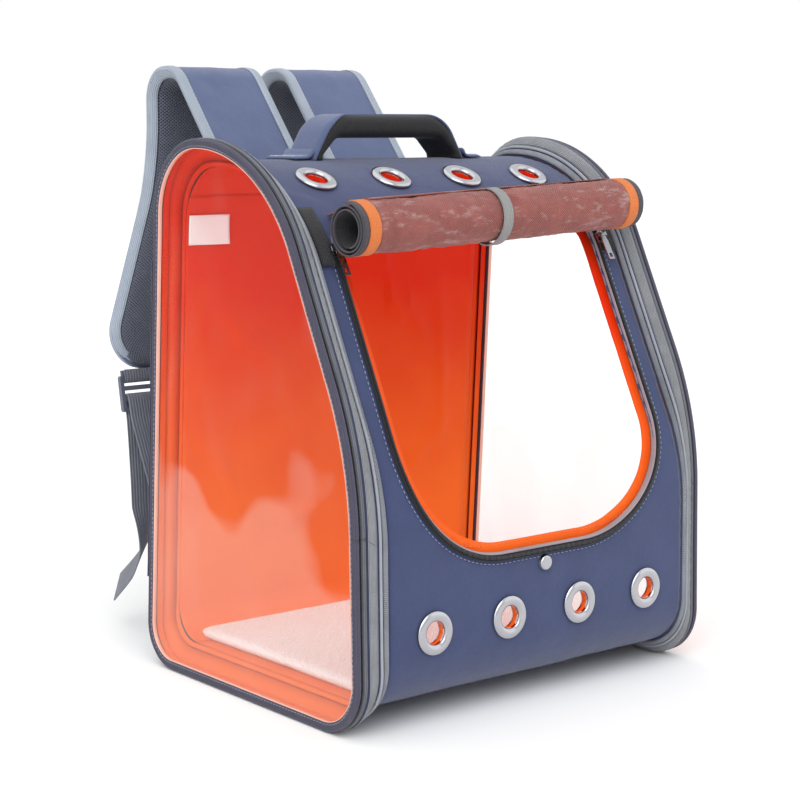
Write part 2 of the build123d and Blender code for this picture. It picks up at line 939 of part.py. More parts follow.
def make_webbing():
    """Lower strap webbing: sewn end, rise to the adjuster, turn and hanging tail."""
    inner = lock_wall / 2 + lock_clearance
    turn = 2 * lock_bar + 2 * lock_slot + lock_bar / 2 - webbing_wall / 2
    sewn = back_y(anchor_low) + layer_gap
    anchor_high = anchor_low + anchor_height
    tail_depth = hoop_foot_back + tail_reach
    rise = [
        (sewn, anchor_low, 0.0),
        (back_y(anchor_high) + layer_gap, anchor_high, anchor_radius),
        (*lock_point(turn + webbing_run_in, -inner - webbing_wall), webbing_rise_radius),
        (*lock_point(turn, -inner - webbing_wall), 0.0),
    ]
    fall = [
        (*lock_point(turn, inner), 0.0),
        (*lock_point(turn + webbing_run_in, inner + webbing_wall / 2), webbing_fall_radius),
        (tail_depth + webbing_wall, tail_hang, 0.0),
    ]
    webbing = webbing_strip(rise, 0.0, -webbing_wall)
    webbing = webbing + (turn_round(turn, inner) & above_line(turn))
    webbing = webbing + webbing_strip(fall, 0.0, webbing_wall)
    return webbing + make_tail(fall)


# Free end of the webbing: distance behind the hoops, height and twist of each section
tail_sections = [
    (49.5, 80.0, 24.0),
    (54.0, 66.0, 58.0),
    (68.0, 49.0, 78.0),
    (93.0, 28.0, 86.0),
]


def make_tail(fall):
    """Free end that twists edge-on and curls away from the back."""
    along = direction(fall[-2], fall[-1])
    start = (fall[-1][0] - along[1] * webbing_wall / 2, fall[-1][1] + along[0] * webbing_wall / 2, 0.0)
    places = [start] + [(hoop_foot_back + reach, z, twist) for reach, z, twist in tail_sections]
    sections = []
    for i, (y, z, twist) in enumerate(places):
        if i > 0:
            along = direction(places[i - 1], places[min(i + 1, len(places) - 1)])
        across = (math.cos(math.radians(twist)), math.sin(math.radians(twist)))
        x_dir = (across[0], -along[1] * across[1], along[0] * across[1])
        plane = Plane(origin=(-webbing_place, y, z), x_dir=x_dir, z_dir=(0, *along))
        sections.append(plane * Rectangle(webbing_width, webbing_wall))
    return loft(sections)


def back_plate(x_start, x_end, z_start, z_end, low, high):
    """Plate parallel to the leaning back, from low to high outside the wrap's face."""
    corners = [
        (back_y(z_start) + low, z_start, 0.0),
        (back_y(z_start) + high, z_start, 0.0),
        (back_y(z_end) + high, z_end, 0.0),
        (back_y(z_end) + low, z_end, 0.0),
    ]
    return slab(corners, x_start, x_end)


def make_strap_patch():
    """Reinforcing patch over the strap's sewn end."""
    low = strap_trim_wall + strap_wall + strap_mesh_wall + 4 * layer_gap
    start = strap_inner_edge - patch_margin / 2
    end = strap_inner_edge + strap_width + patch_margin / 2
    bottom = strap_sewn_low - patch_margin
    return back_plate(-end, -start, bottom, bottom + patch_height, low, low + patch_wall)


def make_anchor_patch():
    """Patch over the sewn end of the lower webbing."""
    low = layer_gap + webbing_wall + layer_gap
    half = webbing_width / 2 - layer_gap
    return back_plate(-webbing_place - half, -webbing_place + half, anchor_low,
                      anchor_low + anchor_patch_height, low, low + patch_wall)


# ---------------------------------------------------------------- pad, mat and label

def make_back_pad():
    """Cushioned pad on the wearer's side of the back."""
    pad_high = wrap_top - pad_drop
    pad = back_plate(-pad_half_width, pad_half_width, pad_low, pad_high, layer_gap, layer_gap + pad_wall)
    uprights = pad.edges().filter_by(lambda edge: edge.length < 1.2 * pad_wall)
    pad = fillet(uprights, pad_corner)
    lean = direction((back_y(pad_low), pad_low), (back_y(pad_high), pad_high))
    face = pad.faces().sort_by(Axis((0, 0, 0), (0, lean[1], -lean[0])))[-1]
    return fillet(face.edges(), pad_round)


def make_floor_mat():
    half_width = wrap_half_width - mat_side_gap
    mat = slab(shifted(wrap, lining_inner + layer_gap), -half_width, half_width)
    floor = wrap_base_lift + lining_inner + layer_gap
    start = wrap_foot_front + mat_front_gap
    return mat & block(-far, far, start, wrap_back - mat_back_gap, 0, floor + mat_wall)


def make_care_label():
    """Small tag on the inside of the back, near its top left corner."""
    low = lining_inner + layer_gap
    place = label_inset - wrap_half_width
    layer = ring(wrap, low, low + label_wall, place - label_width / 2, place + label_width / 2)
    bottom = wrap_top - label_drop
    middle = (wrap_crown + wrap_back_top) / 2
    return layer & block(-far, far, middle, far, bottom, bottom + label_height)


# ---------------------------------------------------------------- metal and plastic parts

def make_stud():
    """Domed snap stud under the window."""
    height = window_bottom - stud_drop
    y, z, normal = on_wrap_side(4, (wrap_nose_height - height) / (wrap_nose_height - wrap_base_lift))
    place = Plane(origin=(0, y, z), x_dir=(1, 0, 0), z_dir=(0, *normal))
    corners = [
        (0.0, layer_gap, 0.0),
        (stud_radius, layer_gap, 0.0),
        (stud_radius - stud_slope, stud_height, stud_round),
        (0.0, stud_height, 0.0),
    ]
    return place * revolve(outline(corners, Plane.XZ), Axis.Z)


def slider_body(guide_depth):
    """Zip slider lying on its tape: Y along the zip, Z outwards, X to the left."""
    plate = Pos(0, 0, slider_wall / 2) * Box(slider_width, slider_length, slider_wall)
    plate = chamfer(plate.edges().filter_by(Axis.Z), slider_corner)
    if guide_depth > 0:
        guide_x = (slider_width - slider_guide) / 2 - layer_gap
        plate = plate + Pos(guide_x, 0, -guide_depth / 2) * Box(
            slider_guide, slider_length - 3.0, guide_depth)
    gap = pull_barrel_width + 2 * slider_ear_clearance
    height = slider_pin_height + slider_pin_radius + slider_ear_rise - slider_wall / 2
    ears = []
    for side in (-1, 1):
        ear = Box(slider_ear_wall, slider_ear_length, height)
        x = side * (gap + slider_ear_wall) / 2
        ears.append(Pos(x, slider_pin_place, (slider_wall + height) / 2) * ear)
    pin = Pos(0, slider_pin_place, slider_pin_height) * Rot(0, 90, 0) * Cylinder(slider_pin_radius, gap)
    return plate + ears + pin


def pull_body(tilt):
    """Pull tab on the slider's pin, its free end tilted in towards the cloth."""
    barrel = Rot(0, 90, 0) * Cylinder(pull_barrel, pull_barrel_width)
    neck = Pos(0, -pull_neck / 2, 0) * Box(pull_barrel_width, pull_neck, pull_wall)
    blade = Pos(0, -(pull_neck + pull_length) / 2, 0) * Box(pull_width, pull_length - pull_neck, pull_wall)
    slot = Pos(0, -pull_length + pull_slot_length, 0) * Box(pull_slot_width, pull_slot_length, 4 * pull_wall)
    hole = Rot(0, 90, 0) * Cylinder(slider_pin_radius + slider_pin_clearance, 2 * pull_width)
    tab = (barrel + neck + blade) - slot - hole
    return Pos(0, slider_pin_place, slider_pin_height) * Rot(tilt, 0, 0) * tab


def window_slider_place():
    """Plane on the left window zip's teeth, near the top of the opening."""
    lift = 3 * layer_gap + window_tape_wall + window_teeth_height
    y, z = front_point(window_top - window_slider_drop, lift)
    centre_y, centre_z = crown_centre()
    normal = direction((centre_y, centre_z), (y, z))
    x = -(window_half_width + slider_width / 2 + layer_gap)
    return Plane(origin=(x, y, z), x_dir=(1, 0, 0), z_dir=(0, *normal))


def side_slider_place():
    """Plane over the left rim's back edge, below the end of the side zip."""
    lift = layer_gap + tape_height + layer_gap
    height = hinge_high - side_slider_drop
    y = hoop_back_y(height) + lift
    along = direction(hoop[1], hoop[2])
    x = -(rim_end - layer_gap - slider_width / 2)
    return Plane(origin=(x, y, height), x_dir=(-1, 0, 0), z_dir=(0, along[1], -along[0]))


# ---------------------------------------------------------------- nodes

def add_pair(nodes, name, shape):
    """One node for the left piece and one for its mirror image."""
    for side, copy in both_sides(shape).items():
        nodes[side + "_" + name] = copy


def pair(shape):
    """The left piece and its mirror image as one node."""
    return Compound(list(both_sides(shape).values()))


def add_body_nodes(nodes):
    nodes["front_top_panel"] = make_front_top_panel()
    nodes["front_top_lining"] = make_front_top_lining()
    nodes["back_panel"] = wrap_layer(0.0, wrap_wall, "back")
    nodes["back_lining"] = wrap_layer(lining_outer, lining_inner, "back")
    nodes["base_panel"] = wrap_layer(0.0, base_cloth, "base")
    nodes["base_board"] = make_base_board()
    nodes["base_lining"] = wrap_layer(lining_outer, lining_inner, "base")
    nodes["floor_mat"] = make_floor_mat()
    nodes["care_label"] = make_care_label()
    nodes["back_pad"] = make_back_pad()
    places = eyelet_places()
    for row in places:
        nodes[row + "_eyelets"] = Compound([place * eyelet() for place in places[row]])
    nodes["eyelet_washers"] = Compound([
        place * eyelet_washer() for row in places.values() for place in row])
    nodes["snap_stud"] = make_stud()
    nodes["handle_grip"] = make_handle_grip()
    nodes["handle_cover"] = make_handle_cover()


def add_side_nodes(nodes):
    seam = gusset_wall + layer_gap
    add_pair(nodes, "gusset", gusset_band(0.0, 1.0, (0.0, 0.0), (gusset_wall, gusset_wall)))
    nodes["gusset_linings"] = pair(gusset_band(
        0.0, 1.0, (lining_outer, seam), (lining_inner, seam + lining_wall)))
    nodes["edge_braids"] = pair(raised_band(braid_start, braid_width, braid_height))
    nodes["edge_pipings"] = pair(raised_band(piping_start, piping_width, piping_height))
    nodes["gusset_tapes"] = pair(raised_band(tape_start, tape_width, tape_height))
    add_pair(nodes, "hoop_rim", make_rim())
    nodes["hoop_strips"] = pair(frame_strip(0.0))
    nodes["side_zip_teeth"] = pair(make_body_teeth())
    add_pair(nodes, "hinge_tape", make_hinge_tape())
    add_pair(nodes, "door_sheet", make_door_sheet())
    add_pair(nodes, "door_binding", make_door_binding())
    add_pair(nodes, "door_teeth", make_door_teeth())
    nodes["side_sliders"] = pair(side_slider_place() * slider_body(tape_height + layer_gap / 2))
    add_pair(nodes, "side_pull", side_slider_place() * pull_body(side_pull_tilt))


def add_window_nodes(nodes):
    tape_low = layer_gap
    teeth_low = tape_low + window_tape_wall + layer_gap
    nodes["window_zip_tape"] = window_frame(
        window_seam_gap, window_seam_gap + window_tape_width, tape_low, tape_low + window_tape_wall)
    nodes["window_zip_teeth"] = window_frame(
        window_seam_gap + layer_gap, window_seam_gap + layer_gap + window_teeth_width,
        teeth_low, teeth_low + window_teeth_height)
    nodes["window_edge"] = make_window_edge()
    nodes["zip_garages"] = pair(make_zip_garage())
    nodes["window_sliders"] = pair(window_slider_place() * slider_body(0.0))
    add_pair(nodes, "window_pull", window_slider_place() * pull_body(0.0))
    mesh_end = roll_half_length - roll_tape_width - roll_binding_width
    binding_end = roll_half_length - roll_tape_width
    nodes["curtain_mesh"] = roll_piece(-mesh_end, mesh_end)
    nodes["curtain_bindings"] = Compound(roll_ends(mesh_end, binding_end))
    nodes["curtain_zip_tapes"] = Compound(roll_ends(binding_end, roll_half_length))
    nodes["curtain_hem"] = make_curtain_hem()
    nodes["curtain_tie"] = make_curtain_tie()


def add_strap_nodes(nodes):
    add_pair(nodes, "strap_pad", make_strap_pad())
    nodes["strap_meshes"] = pair(make_strap_mesh())
    nodes["strap_trims"] = pair(make_strap_trim())
    nodes["strap_patches"] = pair(make_strap_patch())
    nodes["lock_loops"] = pair(make_lock_loop())
    nodes["ladder_locks"] = pair(make_ladder_lock())
    add_pair(nodes, "webbing", make_webbing())
    nodes["anchor_patches"] = pair(make_anchor_patch())


nodes = {}
add_body_nodes(nodes)
add_side_nodes(nodes)
add_window_nodes(nodes)
add_strap_nodes(nodes)
limits = Compound([shape for shape in nodes.values()]).bounding_box()
origin = Vector(0, (limits.min.Y + limits.max.Y) / 2, 0)
os.makedirs("parts", exist_ok=True)
for name, shape in nodes.items():
    export_step(Pos(-origin) * shape, "parts/" + name + ".step")
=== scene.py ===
import bpy
import math
import numpy as np
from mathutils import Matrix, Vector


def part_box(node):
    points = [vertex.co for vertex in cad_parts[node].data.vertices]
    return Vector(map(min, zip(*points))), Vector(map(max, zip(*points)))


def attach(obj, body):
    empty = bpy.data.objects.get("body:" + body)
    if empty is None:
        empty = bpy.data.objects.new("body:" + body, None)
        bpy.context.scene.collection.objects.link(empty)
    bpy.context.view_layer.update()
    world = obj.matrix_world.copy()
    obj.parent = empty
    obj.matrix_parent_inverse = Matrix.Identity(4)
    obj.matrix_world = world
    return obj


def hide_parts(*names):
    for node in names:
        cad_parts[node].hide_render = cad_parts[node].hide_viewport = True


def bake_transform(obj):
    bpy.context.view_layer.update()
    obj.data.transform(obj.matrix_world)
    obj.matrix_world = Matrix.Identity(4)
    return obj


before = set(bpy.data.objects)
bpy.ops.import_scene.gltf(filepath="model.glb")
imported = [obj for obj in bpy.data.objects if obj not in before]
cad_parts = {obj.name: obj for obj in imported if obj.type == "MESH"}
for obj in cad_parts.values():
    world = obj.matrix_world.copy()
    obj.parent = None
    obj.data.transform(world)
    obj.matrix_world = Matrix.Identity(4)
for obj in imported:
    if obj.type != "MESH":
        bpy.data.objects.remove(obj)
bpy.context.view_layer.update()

# Soft-sided bird travel carrier. Sizes are in millimetres and become metres when a mesh
# is made. Depths are measured from the front foot of the side hoops, as in the CAD source.
MM = 0.001
DEPTH_ORIGIN = 139.2554
SIDE = np.array([1.0, 0, 0])

# ---------------------------------------------------------------- sizes shared with the CAD source

# Corners of the outlines, each with its radius: (y, z, r) for the first two, (x, z, r) for the window
HOOP = [(-26.0, 0.0, 35.0), (208.0, 0.0, 28.0), (187.0, 351.0, 50.0), (66.0, 351.0, 115.0),
        (-22.5, 168.0, 218.0)]
WRAP = [(-28.6, 11.0, 36.0), (204.0, 11.0, 25.0), (184.466, 337.5, 43.0), (68.0, 337.5, 113.0),
        (-27.0, 142.0, 139.0)]
WINDOW = [(-108.0, 99.0, 75.0), (108.0, 99.0, 75.0), (108.0, 300.0, 14.0), (-108.0, 300.0, 14.0)]
HALF = 125.0
GUSSET = 12.5
RIM_START = 137.5
RIM_END = 141.0
DOOR_START = 142.4
DOOR_END = 145.6
SHEET = 143.55
LINING = 3.6
LINING_END = 4.4
BACK_SEAM = 315.5
BASE_FRONT = 9.4
BASE_BACK = 177.0
HINGE_LOW = 60.0
HINGE_HIGH = 288.0
LOCK_BAR, LOCK_SLOT, LOCK_WALL, LOCK_GAP, LOCK_CLEARANCE = 3.2, 4.2, 3.6, 4.0, 0.3
WEB_WALL = 1.4
# Depths in front of which a point is on the front, and behind which a hoop point is by the hinge
FRONT_DEPTH = 110.0
HINGE_DEPTH = 100.0

# ---------------------------------------------------------------- material kit


def linear(code):
    parts = [int(code[i:i + 2], 16) / 255 for i in (0, 2, 4)]
    return tuple(c / 12.92 if c <= 0.04045 else ((c + 0.055) / 1.055) ** 2.4 for c in parts) + (1.0,)


def toned(colour, factor, more=0.0):
    """A colour made darker or lighter."""
    return tuple(min(1.0, c * factor + more) for c in colour[:3]) + (1.0,)


def plug(tree, socket, value):
    """Give a socket a value, or link it to another node's output."""
    if hasattr(value, "is_output"):
        tree.links.new(value, socket)
    else:
        socket.default_value = value


def add_node(tree, kind, inputs=(), **settings):
    made = tree.nodes.new(kind)
    for key, value in settings.items():
        setattr(made, key, value)
    for key, value in dict(inputs).items():
        plug(tree, made.inputs[key], value)
    return made


LOOKS = {}


class Shade:
    """A small builder for one node material, kept under its name."""

    def __init__(self, name):
        LOOKS[name] = bpy.data.materials.new(name)
        LOOKS[name].use_nodes = True
        self.tree = LOOKS[name].node_tree
        self.bsdf = self.tree.nodes["Principled BSDF"]
        self.coords = self.tree.nodes.new("ShaderNodeTexCoord")

    def node(self, kind, inputs=(), **settings):
        return add_node(self.tree, kind, inputs, **settings)

    def math(self, operation, a, b=0.0):
        return self.node("ShaderNodeMath", {0: a, 1: b, 2: 0.0}, operation=operation).outputs[0]

    def mix(self, factor, a, b):
        return self.node("ShaderNodeMix", {0: factor, 6: a, 7: b}, data_type="RGBA").outputs[2]

    def span(self, value, low, high, out_low=0.0, out_high=1.0):
        inputs = {0: value, 1: low, 2: high, 3: out_low, 4: out_high}
        return self.node("ShaderNodeMapRange", inputs).outputs[0]

    def noise(self, scale, detail=3.0, rough=0.5, stretch=None):
        vector = self.coords.outputs["Object"]
        if stretch:
            vector = self.node("ShaderNodeMapping", {0: vector, 3: stretch}).outputs[0]
        inputs = {"Vector": vector, "Scale": scale, "Detail": detail, "Roughness": rough}
        return self.node("ShaderNodeTexNoise", inputs).outputs["Fac"]

    def split(self, space):
        return self.node("ShaderNodeSeparateXYZ", {0: self.coords.outputs[space]}).outputs

    def wavy_height(self, scale, detail, sway):
        """Height in metres, swayed by slow noise."""
        height = self.split("Object")[2]
        return self.math("ADD", height, self.span(self.noise(scale, detail), 0.3, 0.7, -sway, sway))

    def wave(self, along, pitch):
        """A sine of the given coordinate in metres, with its pitch in millimetres."""
        return self.math("SINE", self.math("MULTIPLY", along, 2 * math.pi / (pitch * MM)))

    def weave(self, pitch_across, pitch_along):
        across, along = self.split("UV")[:2]
        return self.math("MULTIPLY", self.wave(across, pitch_across), self.wave(along, pitch_along))

    def bump(self, height, depth, strength=1.0):
        made = self.node("ShaderNodeBump", {"Height": height, "Distance": depth * MM, "Strength": strength})
        normal = self.bsdf.inputs["Normal"]
        if normal.is_linked:
            self.tree.links.new(normal.links[0].from_socket, made.inputs["Normal"])
        self.tree.links.new(made.outputs[0], normal)

    def set(self, **values):
        for key, value in values.items():
            plug(self.tree, self.bsdf.inputs[key.replace("_", " ")], value)


def cloth(name, colour, pitch=0.9, shade=0.14, rough=0.78, grain=0.12, wrinkle=0.25, sheen=0.25, thread=0.10):
    """Woven cloth: thread relief from its UV, uneven dye, small creases and a soft sheen."""
    s = Shade(name)
    base = linear(colour)
    dye = s.mix(s.span(s.noise(28.0, 4.0, 0.6), 0.3, 0.7), toned(base, 1 - shade), toned(base, 1 + shade))
    weave = s.weave(pitch, pitch)
    slub = s.noise(900.0, 2.0, 0.6)
    threads = s.math("ADD", s.math("MULTIPLY", weave, 0.5), slub)
    gaps = s.span(threads, 0.75, 0.05, 0.0, min(1.0, 4 * thread))
    s.set(Base_Color=s.mix(gaps, dye, toned(base, 1 - 2.2 * thread)), Roughness=rough, Sheen_Weight=sheen,
          Sheen_Roughness=0.5, Specular_IOR_Level=0.25)
    s.bump(threads, grain)
    s.bump(s.noise(110.0, 4.0, 0.55), wrinkle)


def mesh_cloth(name, colour, gap, pitch=2.6, rough=0.8, depth=0.6, patch=(0.55, 0.8, 0.35), painted_glints=0.0):
    """Knitted air mesh: staggered holes between rounded threads, with worn patches, and pale painted glints
    where asked.
    """
    s = Shade(name)
    fuzz = s.math("MULTIPLY", s.noise(700.0, 3.0, 0.6), 0.7)
    mask = s.math("ADD", s.weave(pitch, pitch * 0.8), fuzz)
    base = linear(colour)
    low, high, amount = patch
    worn = s.span(s.noise(45.0, 4.0, 0.6), low, high, 0.0, amount)
    tone = s.mix(worn, s.mix(s.span(mask, 0.55, 1.0), base, linear(gap)), toned(base, 1.35))
    if painted_glints:
        # Painted highlights: pale, streaky glints of light on the mesh.
        glints = s.noise(150.0, 4.0, 0.75, stretch=(0.35, 1.0, 1.0))
        tone = s.mix(s.span(glints, 0.54, 0.68, 0.0, painted_glints), tone, toned(base, 0.55, 0.35))
        s.bump(s.noise(55.0, 4.0, 0.65, stretch=(0.5, 1.0, 1.0)), 1.6)
    s.set(Base_Color=tone, Roughness=rough, Sheen_Weight=0.2, Specular_IOR_Level=0.2)
    s.bump(s.math("MULTIPLY", mask, -1.0), depth * 0.5)
    s.bump(s.noise(90.0, 4.0, 0.6), 0.4)


def lining_cloth(name, shaded_top_tone, lit_low_tone, crease_highlight_tone):
    """Thin satin lining: slack wrinkles, painted shade (a deeper tone) near the roof, painted light lower
    down, painted highlights on its creases, and a soft gloss.
    """
    s = Shade(name)
    # Painted shade and light: the colour runs from a darker tone high up to a lighter one low down.
    tone = s.mix(s.span(s.wavy_height(9.0, 3.0, 0.03), 0.25, 0.06), linear(shaded_top_tone), linear(lit_low_tone))
    creases = s.noise(13.0, 3.0, 0.55, stretch=(1.0, 1.0, 0.4))
    # Painted highlights: a lighter tone along the creases.
    s.set(Base_Color=s.mix(s.span(creases, 0.53, 0.68, 0.0, 0.30), tone, linear(crease_highlight_tone)),
          Roughness=0.38, Specular_IOR_Level=0.1)
    s.bump(s.weave(0.7, 0.7), 0.05)
    s.bump(creases, 2.5, 0.5)
    s.bump(s.noise(60.0, 3.0, 0.5), 0.5)


def ribbed(name, colour, rib=1.6, rough=0.65, shade=0.25, along_ribs=True):
    """Webbing or tape: fine lengthwise ribs crossed by a tight weft."""
    s = Shade(name)
    across, along = s.split("UV")[:2]
    base = linear(colour)
    ribs = s.wave(across if along_ribs else along, rib)
    weft = s.wave(along if along_ribs else across, 0.8)
    relief = s.math("ADD", ribs, s.math("MULTIPLY", weft, 0.5))
    dark = toned(base, 1 - shade)
    tone = s.mix(s.span(relief, -1.2, 1.2), dark, toned(base, 1 + 0.6 * shade))
    s.set(Base_Color=s.mix(s.span(s.noise(60.0, 4.0, 0.6), 0.35, 0.7, 0.0, 0.5), tone, dark),
          Roughness=rough, Sheen_Weight=0.15, Specular_IOR_Level=0.3)
    s.bump(relief, 0.2)
    s.bump(s.noise(150.0, 3.0, 0.5), 0.2)


def plastic(name, colour, rough=0.4, grain=0.05):
    s = Shade(name)
    base = linear(colour)
    smudge = s.noise(40.0, 5.0, 0.6)
    s.set(Base_Color=s.mix(s.span(smudge, 0.45, 0.8, 0.0, 0.5), base, toned(base, 1.0, 0.1)),
          Roughness=s.span(smudge, 0.3, 0.7, rough * 0.8, rough * 1.25))
    s.bump(s.noise(1500.0, 2.0, 0.5), grain)


def metal(name, colour, rough, worn):
    s = Shade(name)
    scratch = s.noise(260.0, 6.0, 0.7, stretch=(1.0, 1.0, 5.0))
    base = linear(colour)
    s.set(Base_Color=s.mix(s.span(scratch, 0.55, 0.8, 0.0, 0.6), base, toned(base, 0.72)), Metallic=1.0,
          Roughness=s.span(scratch, 0.3, 0.8, rough * 0.7, rough + worn * 0.3))
    s.bump(s.noise(35.0, 2.0, 0.4), 0.12)


def foam(name, colour):
    s = Shade(name)
    pores = s.noise(1400.0, 2.0, 0.6)
    base = linear(colour)
    s.set(Base_Color=s.mix(s.span(pores, 0.5, 0.75), base, toned(base, 1.0, 0.02)), Roughness=0.62,
          Specular_IOR_Level=0.35, Sheen_Weight=0.1)
    s.bump(pores, 0.12)
    s.bump(s.noise(55.0, 4.0, 0.55), 0.35)


def clear_film(name, tint):
    """Clear PVC: mirror-like where it reflects, and see-through for the rest. It is made more mirror-like low
    down and in soft streaks, as painted reflection patches.
    """
    s = Shade(name)
    # Painted reflection: the film is more mirror-like near the bottom and in soft streaks.
    low = s.span(s.wavy_height(8.0, 2.5, 0.06), 0.125, 0.108)
    reflection_streak = s.span(s.noise(13.0, 2.0, 0.5, stretch=(1.0, 1.0, 0.45)), 0.56, 0.66)
    glance = s.math("POWER", s.node("ShaderNodeLayerWeight", {"Blend": 0.5}).outputs["Facing"], 5.0)
    painted_reflection = s.math("ADD", s.math("MULTIPLY", low, 0.075), s.math("MULTIPLY", reflection_streak, 0.018))
    alpha = s.math("ADD", s.math("ADD", s.math("MULTIPLY", glance, 0.6), painted_reflection), 0.004)
    s.set(Base_Color=tint, Metallic=1.0, Roughness=0.07, Alpha=s.math("MINIMUM", alpha, 0.8))
    s.bump(s.noise(9.0, 3.0, 0.5), 6.0, 0.6)
    s.bump(s.noise(40.0, 3.0, 0.5), 0.6, 0.5)


cloth("navy_canvas", "3b466e", 1.0, shade=0.10, thread=0.16, sheen=0.3)
cloth("strap_cloth", "5a678c", 0.9, shade=0.08, thread=0.12, sheen=0.35)
ribbed("pale_binding", "b4bfce", 1.3)
mesh_cloth("grey_mesh", "6a6e7c", "22242c", 2.8)
# The lining's last three colours: painted shade high up, painted light low down, painted crease highlights.
lining_cloth("orange_lining", "e62c00", "ff7626", "ff7a38")
ribbed("grey_braid", "a0a3ad", 1.2, shade=0.5, along_ribs=False)
cloth("grey_piping", "a2a7b2", 0.8, thread=0.15)
ribbed("olive_grey_tape", "a3a6ac", 1.1, shade=0.45)
cloth("gusset_cloth", "42496c", 0.9, thread=0.16)
ribbed("rim_cloth", "72757f", 1.2, shade=0.5)
ribbed("dark_binding", "504e64", 1.4, shade=0.3)
ribbed("black_zip", "1d1d24", 1.1, rough=0.45, shade=0.35, along_ribs=False)
ribbed("black_tape", "1a1b22", 1.2, shade=0.3)
clear_film("clear_pvc", (1.0, 0.91, 0.82, 1.0))
# Pale, opaque bead: a painted highlight on the clear sheet's edge.
plastic("edge_highlight_bead", "ecb9a8", 0.15, 0.0)
cloth("tan_binding", "a29aa2", 0.8, thread=0.15)
# The curtain's mesh, with painted glints.
mesh_cloth("red_brown_mesh", "99544c", "643030", 1.7, rough=0.6, depth=0.5,
           patch=(0.45, 0.75, 0.6), painted_glints=0.55)
ribbed("orange_binding", "f08238", 1.2, shade=0.15)
ribbed("grey_tape", "4c4a52", 1.0, shade=0.3)
ribbed("tie_webbing", "a4a3a3", 1.2, shade=0.3)
metal("chrome", "b4b5ba", 0.16, 0.2)
metal("satin_metal", "8e9096", 0.28, 0.3)
metal("spring_steel", "8c8f96", 0.3, 0.4)
foam("black_foam", "0d0e12")
ribbed("grey_webbing", "7d808c", 2.2, shade=0.4)
plastic("grey_plastic", "5d6270", 0.42)
plastic("white_board", "dcdcd8", 0.6)
cloth("pale_mat", "ffffff", 2.4, shade=0.02, rough=0.92, grain=0.5, wrinkle=0.9, sheen=0.4,
      thread=0.04)
cloth("white_label", "ffffff", 0.5, shade=0.03, rough=0.45, grain=0.05, thread=0.03)
cloth("thread", "8d97b2", 0.6, grain=0.05, wrinkle=0.05)
cloth("pale_thread", "c6cdd8", 0.6, grain=0.05, wrinkle=0.05)
cloth("orange_thread", "ff7a48", 0.6, grain=0.05, wrinkle=0.05)

# ---------------------------------------------------------------- lines and outlines


def unit(v):
    v = np.asarray(v, float)
    return v / np.maximum(np.linalg.norm(v, axis=-1, keepdims=True), 1e-12)


def outward(t):
    """The normals of plane tangents, on their right side."""
    return np.stack([t[..., 1], -t[..., 0]], -1)


def xyz(x, plane):
    """Points in space from their x and their (y, z) pairs."""
    return np.stack(np.broadcast_arrays(x, plane[..., 0], plane[..., 1]), -1)


def arc_length(points):
    return np.concatenate([[0], np.cumsum(np.linalg.norm(np.diff(points, axis=0), axis=1))])


def arc_points(centre, radius, start, end, count):
    return [centre + radius * np.array([math.cos(a), math.sin(a)]) for a in np.linspace(start, end, count)]


def relaxed(points, turns):
    """A line with its kinks eased, each point drawn toward its neighbours."""
    for turn in range(turns):
        points[1:-1] = (points[:-2] + 2 * points[1:-1] + points[2:]) / 4
    return points


def corner_parts(corners, closed=True):
    """Arc start, arc end, centre and turn of each rounded corner."""
    points = np.array([c[:2] for c in corners], float)
    count = len(corners)
    parts = []
    for i, (*_, radius) in enumerate(corners):
        if not closed and i in (0, count - 1):
            parts.append((points[i], points[i], points[i], 0.0))
            continue
        before = unit(points[i] - points[i - 1])
        after = unit(points[(i + 1) % count] - points[i])
        turn = math.atan2(before[0] * after[1] - before[1] * after[0], before @ after)
        setback = radius * math.tan(abs(turn) / 2)
        start = points[i] - before * setback
        centre = start + math.copysign(radius, turn) * np.array([-before[1], before[0]])
        parts.append((start, points[i] + after * setback, centre, turn))
    return parts


def rounded(corners, counts=None, step=3.0, closed=True):
    """Points along a rounded outline, and how many each line and arc holds."""
    parts = corner_parts(corners, closed)
    points, used = [], []

    def take(length):
        used.append(counts[len(used)] if counts else max(1, math.ceil(length / step)))
        return used[-1]

    for i, (start, _, centre, turn) in enumerate(parts):
        if i > 0 or closed:
            origin = parts[i - 1][1]
            number = take(np.linalg.norm(start - origin))
            points += [origin + (start - origin) * k / number for k in range(number)]
        arm = start - centre
        number = take(np.linalg.norm(arm) * abs(turn))
        for k in range(number if turn else 0):
            c, s = math.cos(turn * k / number), math.sin(turn * k / number)
            points.append(centre + [arm[0] * c - arm[1] * s, arm[0] * s + arm[1] * c])
    if not closed:
        points.append(parts[-1][0])
    return np.array(points), used


def tangents(points, closed=True):
    if closed:
        return unit(np.roll(points, -1, 0) - np.roll(points, 1, 0))
    return unit(np.vstack([points[1:], points[-1:]]) - np.vstack([points[:1], points[:-1]]))


def resample(points, step, closed=False, count=None):
    """The same line with even steps, and the arc length of each point."""
    p = np.vstack([points, points[:1]]) if closed else np.asarray(points, float)
    s = arc_length(p)
    count = count or max(2, int(round(s[-1] / step)))
    at = np.linspace(0, s[-1], count + 1)[:-1] if closed else np.linspace(0, s[-1], count)
    return np.stack([np.interp(at, s, column) for column in p.T], -1), at


class Loop:
    """A closed outline measured by arc length, with its outward normal."""

    def __init__(self, points):
        rows = np.hstack([points, outward(tangents(points))])
        self.columns = np.vstack([rows, rows[:1]]).T
        self.s = arc_length(self.columns[:2].T)
        self.length = self.s[-1]

    def at(self, s, lift=0.0):
        s = np.asarray(s, float) % self.length
        rows = np.stack([np.interp(s, self.s, column) for column in self.columns], -1)
        n = unit(rows[..., 2:])
        return rows[..., :2] + n * np.asarray(lift, float)[..., None], n


